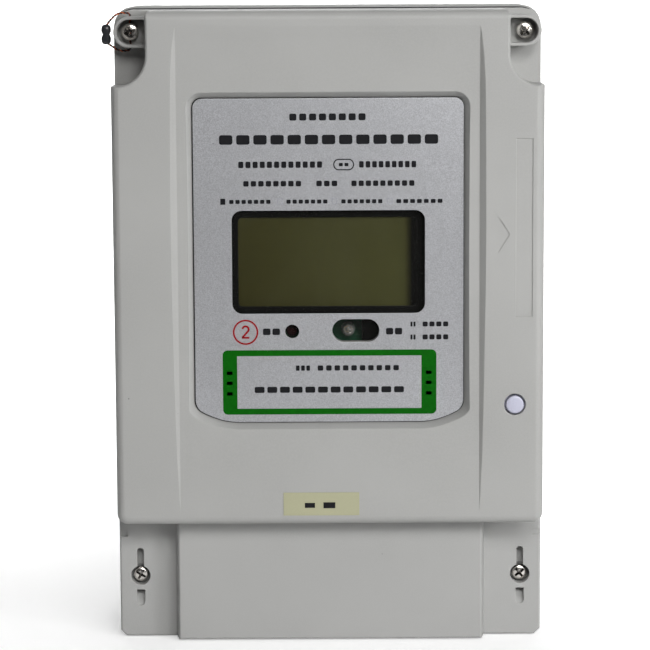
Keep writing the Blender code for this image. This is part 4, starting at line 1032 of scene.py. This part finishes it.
def make_lid_fixing(lid, side):
    """Boss, head pocket and the two seal-wire channels round one fixing screw."""
    x, z = side * TERMINAL_SCREW[0], TERMINAL_SCREW[1]
    back = -LID_HIGH.y
    face = WING_FRONT
    add(lid, plate("boss", [rounded(x - 5.2 * MM, x + 5.2 * MM, z - 15 * MM, z + 14 * MM, 2 * MM, steps=4)],
                   43 * MM, face - 1.5 * MM))
    add(lid, plate("foot", [circle(x, z, 4.6 * MM, 32)], back, 44 * MM))
    cut(lid, plate("screw_hole", [circle(x, z, 2.1 * MM, 24)], back - 1 * MM, POCKET_FLOOR + 1 * MM))
    pocket = lambda grow: circle(x, z, HEAD_POCKET + grow, 64)
    cut(lid, lipped("head_pocket", pocket, POCKET_FLOOR, face, 0.3 * MM))
    def channel(grow):
        slot = 1.35 * MM + grow
        return [(x - slot, z + 1 * MM), (x + slot, z + 1 * MM)] + arc(x, z + 10.2 * MM, slot, 0, 180, 12)
    cut(lid, lipped("wire_slot", channel, POCKET_FLOOR + 1 * MM, face, 0.25 * MM))
    ramp_top = z - 6 * MM
    def ramp(grow):
        wide = 1.65 * MM + grow
        low = ramp_top - 4.9 * MM
        return [(x + wide, ramp_top + grow), (x - wide, ramp_top + grow)] + arc(x, low, wide, 180, 360, 12)
    deep, shallow = POCKET_FLOOR + 1 * MM, face - 0.6 * MM
    fall = lambda pz: min(1, max(0, (ramp_top - pz) / (6.55 * MM)))
    rings = [[(px, -(deep + (shallow - deep) * fall(pz)), pz) for px, pz in ramp(0)]]
    lip = ((-0.22, 0), (-0.08, 0.07), (0, 0.24), (0.3, 0.6))
    for depth, grow in ((face + out * MM, grow * MM) for out, grow in lip):
        rings.append([(px, -depth, pz) for px, pz in ramp(grow)])
    cut(lid, loft("wire_ramp", rings))
    nick = sorted((side * (LID_HIGH.x + 1 * MM), side * (LID_HIGH.x - 3.4 * MM)))
    cut(lid, plate("nick", [rectangle(*nick, -87.2 * MM, -84.7 * MM)], face - 0.8 * MM, face + 1 * MM))


# ---- button, lamps, display
def make_button():
    """Domed cap with a collar behind the cover and a stem."""
    low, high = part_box("push_button")
    x, z = BUTTON
    front = -low.y
    profile = [(0, front)]
    for i in range(1, 10):
        a = radians(10 * i)
        profile.append((3.5 * MM * sin(a) ** 0.75, front - 0.55 * MM * (1 - cos(a))))
    collar = WING_FACE - GAP
    rim = ((3.5, 0), (5.1, 0), (5.2, -0.1), (5.2, -1.1), (5.1, -1.2), (1.9, -1.2))
    profile += [(radius * MM, collar + high * MM) for radius, high in rim]
    profile += [(1.9 * MM, -high.y + 0.2 * MM), (1.7 * MM, -high.y), (0, -high.y)]
    cap = lathe("button_cap", profile, (x, 0, z), BUTTON_WHITE, 64)
    stand_in(cap, "push_button", "button_white", "push_button")


def make_led(name, node, body, look, slot):
    """Lamp body with a domed end and a collar."""
    x, z = centre_of(node)
    base, tip = -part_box(node)[1].y, -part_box(node)[0].y
    radius = 2.5 * MM
    profile = [(0, tip)]
    profile += [(radius * sin(radians(a)), tip - radius + radius * cos(radians(a))) for a in range(9, 91, 9)]
    collar = ((2.5, 1), (2.85, 0.95), (2.9, 0.1), (2.8, 0), (0, 0))
    profile += [(reach * MM, base + high * MM) for reach, high in collar]
    stand_in(lathe(name, profile, (x, 0, z), look, 40, angle=50), body, slot, node)


def make_emitter_inside():
    """Reflector cup, post and die seen through the clear lamp."""
    x, z = centre_of("infrared_emitter")
    base = -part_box("infrared_emitter")[1].y
    deep = base + 2.2 * MM
    sides = ((0, 0), (0.6, 0), (1.7, 2.2), (1.95, 2.2), (1.95, 1.9), (0.9, -0.9), (0, -0.9))
    cup = lathe("cup", [(radius * MM, deep + high * MM) for radius, high in sides], (x, 0, z), steps=32)
    post = block("post", x + 0.2 * MM, x + 0.9 * MM, base + 0.3 * MM, deep + 3.1 * MM,
                 z - 1.5 * MM, z - 0.8 * MM, None, 0.1 * MM)
    stand_in(joined("emitter_cup", [cup, post], NICKEL), "meter_frame", "nickel_steel")
    half = 0.45 * MM
    die = block("emitter_die", x - half, x + half, deep + 0.02 * MM, deep + 0.5 * MM, z - half, z + half,
                BRASS, 0.08 * MM)
    stand_in(die, "meter_frame", "brass")


def make_display():
    """Display stack on the board, and the clear window in the cover."""
    softened("display_frame", "meter_frame", "black_plastic", GLOSS_BLACK, 0.45 * MM, 3)
    softened("display_backlight", "meter_frame", "button_white", IVORY, 0.3 * MM, 2)
    softened("display_glass", "meter_frame", "display_olive", OLIVE, 0.15 * MM, 2)
    softened("window_pane", "main_cover", "clear_sheet", PANE, 0.12 * MM, 2)




# ---- inside of the case
def small_part(name, x, z, wide, tall, high, look, base, edge=0.15 * MM):
    return block(name, (x - wide / 2) * MM, (x + wide / 2) * MM, base, base + high * MM,
                 (z - tall / 2) * MM, (z + tall / 2) * MM, look, edge)


def make_board_details():
    """Small components on the front of the board, one joined piece for each material."""
    base = -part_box("main_board")[0].y + 0.02 * MM
    chips, leads, pale, bands = [], [], [], []
    for x, z, wide, tall in ((-60, 30, 9, 16), (60, 34, 7, 11), (-60, 2, 7, 7), (58, 8, 6, 9)):
        chips.append(small_part("chip", x, z, wide, tall, 1.6, None, base + 0.2 * MM))
        count = int(tall / 1.6)
        for i in range(count):
            for side in (-1, 1):
                leads.append(small_part("lead", x + side * (wide / 2 + 0.7), z + (i - (count - 1) / 2) * 1.45,
                                        1.6, 0.5, 0.5, None, base, 0.08 * MM))
    for column, x in enumerate((-70, -66, 66, 70)):
        for row in range(9):
            z = 66 - row * 8.5 + (column % 2) * 2
            pale_part = (row + column) % 3 == 0
            target = pale if pale_part else chips
            target.append(small_part("chip_part", x, z, 1.3, 2.0, 0.8, None, base))
            for end in (-1, 1):
                leads.append(small_part("cap", x, z + end * 1.15, 1.35, 0.45, 0.85, None, base, 0.05 * MM))
    barrel = ((0.8, 3), (1.15, 2.6), (1.0, 1.8), (0.92, 0))
    barrel = [(0, -3.1)] + [(r, -h) for r, h in barrel] + [(r, h) for r, h in barrel[2::-1]] + [(0, 3.1)]
    barrel = [(radius * MM, high * MM) for radius, high in barrel]
    depth = -(base + 1.3 * MM)
    for row in range(5):
        z = (58 + row * 4.6) * MM
        resistor = lathe("resistor", barrel, (0, 0, 0), steps=20, axis="Z", angle=60)
        resistor.data.transform(Matrix.Rotation(pi / 2, 4, "Y"))
        resistor.data.transform(Matrix.Translation((-30 * MM, depth, z)))
        bands.append(resistor)
        for side in (-1, 1):
            wire = ((2.9, depth), (4.6, depth), (5.2, -(base + 0.9 * MM)), (5.3, -(base + 0.02 * MM)))
            path = [Vector(((-30 + side * reach) * MM, y, z)) for reach, y in wire]
            leads.append(tube("lead", path, 0.28 * MM, None, 8))
    for i in range(16):
        spot = circle((-22 + i * 2.9) * MM, 54.3 * MM, 0.75 * MM, 16)
        leads.append(plate("joint", [spot], base, base + 0.5 * MM, edge=0.3 * MM, segments=2))
    header = [small_part("header", 30, 72, 22, 5, 3.6, None, base, 0.4 * MM)]
    for i in range(8):
        leads.append(small_part("pin", 21.2 + i * 2.5, 72, 0.64, 0.64, 4.6, None, base, 0.1 * MM))
    stand_in(joined("board_chips", chips, BLACK), "meter_frame", "black_plastic")
    stand_in(joined("board_solder", leads, ZINC), "meter_frame", "nickel_steel")
    stand_in(joined("board_ceramics", pale, IVORY), "meter_frame", "button_white")
    stand_in(joined("board_resistors", bands, RESISTOR), "meter_frame", "black_plastic")
    stand_in(joined("board_header", header, IVORY), "meter_frame", "button_white")


def make_transformer_details():
    """Core laminations with a wound bobbin in place of the plain mains transformer."""
    low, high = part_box("power_transformer")
    sheets = []
    back, front = mm(7, 31)
    for i in range(9):
        a = back + (front - back) * i / 9
        sheets.append(plate("sheet", [rounded(*mm(-52, -16, 30, 62, 0.6), steps=2)],
                            a, a + (front - back) / 9 - 0.25 * MM, edge=0.15 * MM, segments=1))
    core = joined("transformer_core", sheets, ZINC)
    stand_in(core, "meter_frame", "nickel_steel", "power_transformer")
    bobbin = block("transformer_winding", -46 * MM, -22 * MM, -high.y, -low.y, 33 * MM, 59 * MM, WOUND, 2 * MM, 4)
    stand_in(bobbin, "meter_frame", "copper")


def make_internals():
    """CAD parts inside the case, with rounded edges, their screws and small details."""
    frame_finish = (
        ("base", "case_grey", CASE, 0.6, 3), ("hanging_plate", "nickel_steel", ZINC, 0.25, 2),
        ("main_board", "board_green", BOARD, 0.12, 2), ("button_switch", "black_plastic", BLACK, 0.3, 2),
        ("terminal_block", "dark_moulding", BAKELITE, 0.4, 2), ("card_antenna", "copper", WOUND, 0.3, 2),
        ("backup_battery", "black_plastic", BATTERY, 0.6, 3),
        ("storage_capacitor", "black_plastic", CAPACITOR, 0.6, 3),
        ("microcontroller", "black_plastic", BLACK, 0.2, 2),
        ("infrared_receiver", "black_plastic", GLOSS_BLACK, 0.5, 3),
        ("relay_case", "dark_moulding", BAKELITE, 0.4, 2), ("relay_coil", "copper", WOUND, 0.3, 2))
    for node, slot, look, width, segments in frame_finish:
        softened(node, "meter_frame", slot, look, width * MM, segments, rounder=node == "base")
    for i in range(8):
        softened("terminal_clamp_%d" % (i + 1), "meter_frame", "brass", BRASS, 0.35 * MM, 2)
        x = centre_of("terminal_clamp_%d" % (i + 1))[0]
        make_screw("clamp_screw_%d" % (i + 1), (x, -100 * MM), *mm(38, 3.4, 3, 2.5, 14.4),
                   "meter_frame", "brass", "terminal_screw_%d" % (i + 1), cross=False, look=BRASS)
    for i in range(3):
        softened("current_transformer_%d" % (i + 1), "meter_frame", "dark_moulding", BLUE_TAPE, 0.4 * MM, 2)
    for i in range(4):
        node = "board_screw_%d" % (i + 1)
        make_screw("board_fixing_%d" % (i + 1), centre_of(node), *mm(59.7, 2.6, 1.9, 1.2, 8), "meter_frame",
                   "nickel_steel", node, cross=False, look=ZINC)
    softened("switch_plunger", "switch_plunger", "black_plastic", BLACK, 0.3 * MM, 3)
    softened("relay_pusher", "relay_pusher", "button_white", IVORY, 0.3 * MM, 2)
    softened("relay_armature", "relay_armature", "nickel_steel", ZINC, 0.25 * MM, 2)
    for i in range(3):
        arm = "relay_contact_arm_%d" % (i + 1)
        softened(arm, arm, "copper", COPPER, 0.15 * MM, 2)
    make_board_details()
    make_transformer_details()


# ---- studio
CAMERA_PLACE = (-0.0016, -1.11629, 0.1459)
CAMERA_AIM = (-0.0016, -0.076, 0.0034)
CAMERA_ROLL = radians(-0.3)
CAMERA_LENS = 145.55
SKY_RANGE = (-0.7, 0.8, 0.0, 0.36)   # strength of the sky from its dark to its bright side


def facing(place, aim):
    """Placement at one point that looks at another."""
    place = Vector(place)
    return Matrix.Translation(place) @ (Vector(aim) - place).to_track_quat("-Z", "Y").to_matrix().to_4x4()


def make_camera():
    data = bpy.data.cameras.new("camera")
    data.lens = CAMERA_LENS
    data.sensor_width = 36
    camera = bpy.data.objects.new("camera", data)
    bpy.context.scene.collection.objects.link(camera)
    camera.matrix_world = facing(CAMERA_PLACE, CAMERA_AIM) @ Matrix.Rotation(CAMERA_ROLL, 4, "Z")
    bpy.context.scene.camera = camera


def make_light(name, place, aim, size, power, colour=(1, 1, 1)):
    data = bpy.data.lights.new(name, "AREA")
    data.shape = "RECTANGLE"
    data.size = size
    data.size_y = size
    data.energy = power
    data.color = colour
    lamp = bpy.data.objects.new(name, data)
    bpy.context.scene.collection.objects.link(lamp)
    lamp.matrix_world = facing(place, aim)


def make_sky(tree):
    """Soft room light: brighter behind and to the right, dim in front and on the left."""
    backing = tree.nodes["Background"]
    place = tree.nodes.new("ShaderNodeTexCoord")
    lean = tree.nodes.new("ShaderNodeVectorMath")
    lean.operation = "DOT_PRODUCT"
    lean.inputs[1].default_value = (0.55, 0.6, 0.25)
    ramp = tree.nodes.new("ShaderNodeMapRange")
    for socket, number in zip(("From Min", "From Max", "To Min", "To Max"), SKY_RANGE):
        ramp.inputs[socket].default_value = number
    seen = tree.nodes.new("ShaderNodeMix")
    path = tree.nodes.new("ShaderNodeLightPath")
    tree.links.new(place.outputs["Generated"], lean.inputs[0])
    tree.links.new(lean.outputs["Value"], ramp.inputs["Value"])
    tree.links.new(path.outputs["Is Camera Ray"], seen.inputs[0])
    tree.links.new(ramp.outputs["Result"], seen.inputs[2])
    seen.inputs[3].default_value = 0.95
    tree.links.new(seen.outputs[0], backing.inputs["Strength"])
    backing.inputs["Color"].default_value = (0.985, 0.99, 1, 1)


def make_stage():
    """Pale floor that sweeps up behind the meter."""
    floor_z = BASE_LOW.z - 0.2 * MM
    sweep = [(-0.5, 0), (0.9, 0)]
    sweep += [(0.9 + 0.5 * sin(radians(a)), 0.5 - 0.5 * cos(radians(a))) for a in range(10, 91, 10)]
    sweep += [(1.4, 3.0)]
    work = bmesh.new()
    rows = [[work.verts.new((x, y, floor_z + z)) for y, z in sweep] for x in (-4, 4)]
    for i in range(len(sweep) - 1):
        work.faces.new((rows[0][i], rows[1][i], rows[1][i + 1], rows[0][i + 1]))
    paint = Paint("pale_floor", (0.85, 0.85, 0.85), 0.7)
    paint.set("Emission Color", (1, 1, 1, 1))
    seen = paint.node("LightPath")
    paint.feed("Emission Strength", paint.product(seen.outputs["Is Camera Ray"], 0.4))
    paint.feed("Roughness", paint.range(paint.noise(3, 2), 0.3, 0.7, 0.65, 0.8))
    from_work("floor", work, paint.material, 60)
    world = bpy.data.worlds.new("studio")
    world.use_nodes = True
    make_sky(world.node_tree)
    bpy.context.scene.world = world
    make_light("key", (0.2, -1.45, 0.78), (0, 0, 0), 0.45, 9.4, (1, 0.995, 0.985))
    make_light("side", (1.25, -1.05, 0.3), (0, 0, 0), 0.4, 8.5)
    make_light("front", (0.42, -0.85, 0.3), (0, 0, 0.05), 0.2, 2.3)
    make_light("backdrop", (0, 0.5, 1.0), (0, 1.4, 0.6), 1.2, 28)
    bpy.context.scene.view_settings.view_transform = "Standard"


# ---- build everything


def main():
    make_camera()
    make_stage()
    make_main_cover()
    make_gasket()
    make_faceplate()
    make_prints()
    make_sticker()
    make_terminal_cover()
    for name, side, turn in (("left", -1, 18), ("right", 1, 40)):
        place = (side * SEAL_SCREW[0], SEAL_SCREW[1])
        make_screw("seal_screw_" + name, place, LUG_SEAT + GAP, *mm(3.4, 4.6, 1.75, 36),
                   "main_cover", "nickel_steel", "cover_seal_screw_" + name, turn, 0.58)
        place = (side * TERMINAL_SCREW[0], TERMINAL_SCREW[1])
        make_screw("lid_screw_" + name, place, POCKET_FLOOR + GAP, *mm(3.0, 3.8, 1.75, 30),
                   "terminal_cover_screw_" + name, "nickel_steel", "terminal_cover_screw_" + name, -turn - 12)
    make_seal()
    make_button()
    make_led("pulse_lens", "pulse_lamp", "meter_frame", RED_LENS, "red_lens")
    make_led("emitter_lens", "infrared_emitter", "meter_frame", LENS, "clear_sheet")
    make_emitter_inside()
    make_display()
    make_internals()


main()
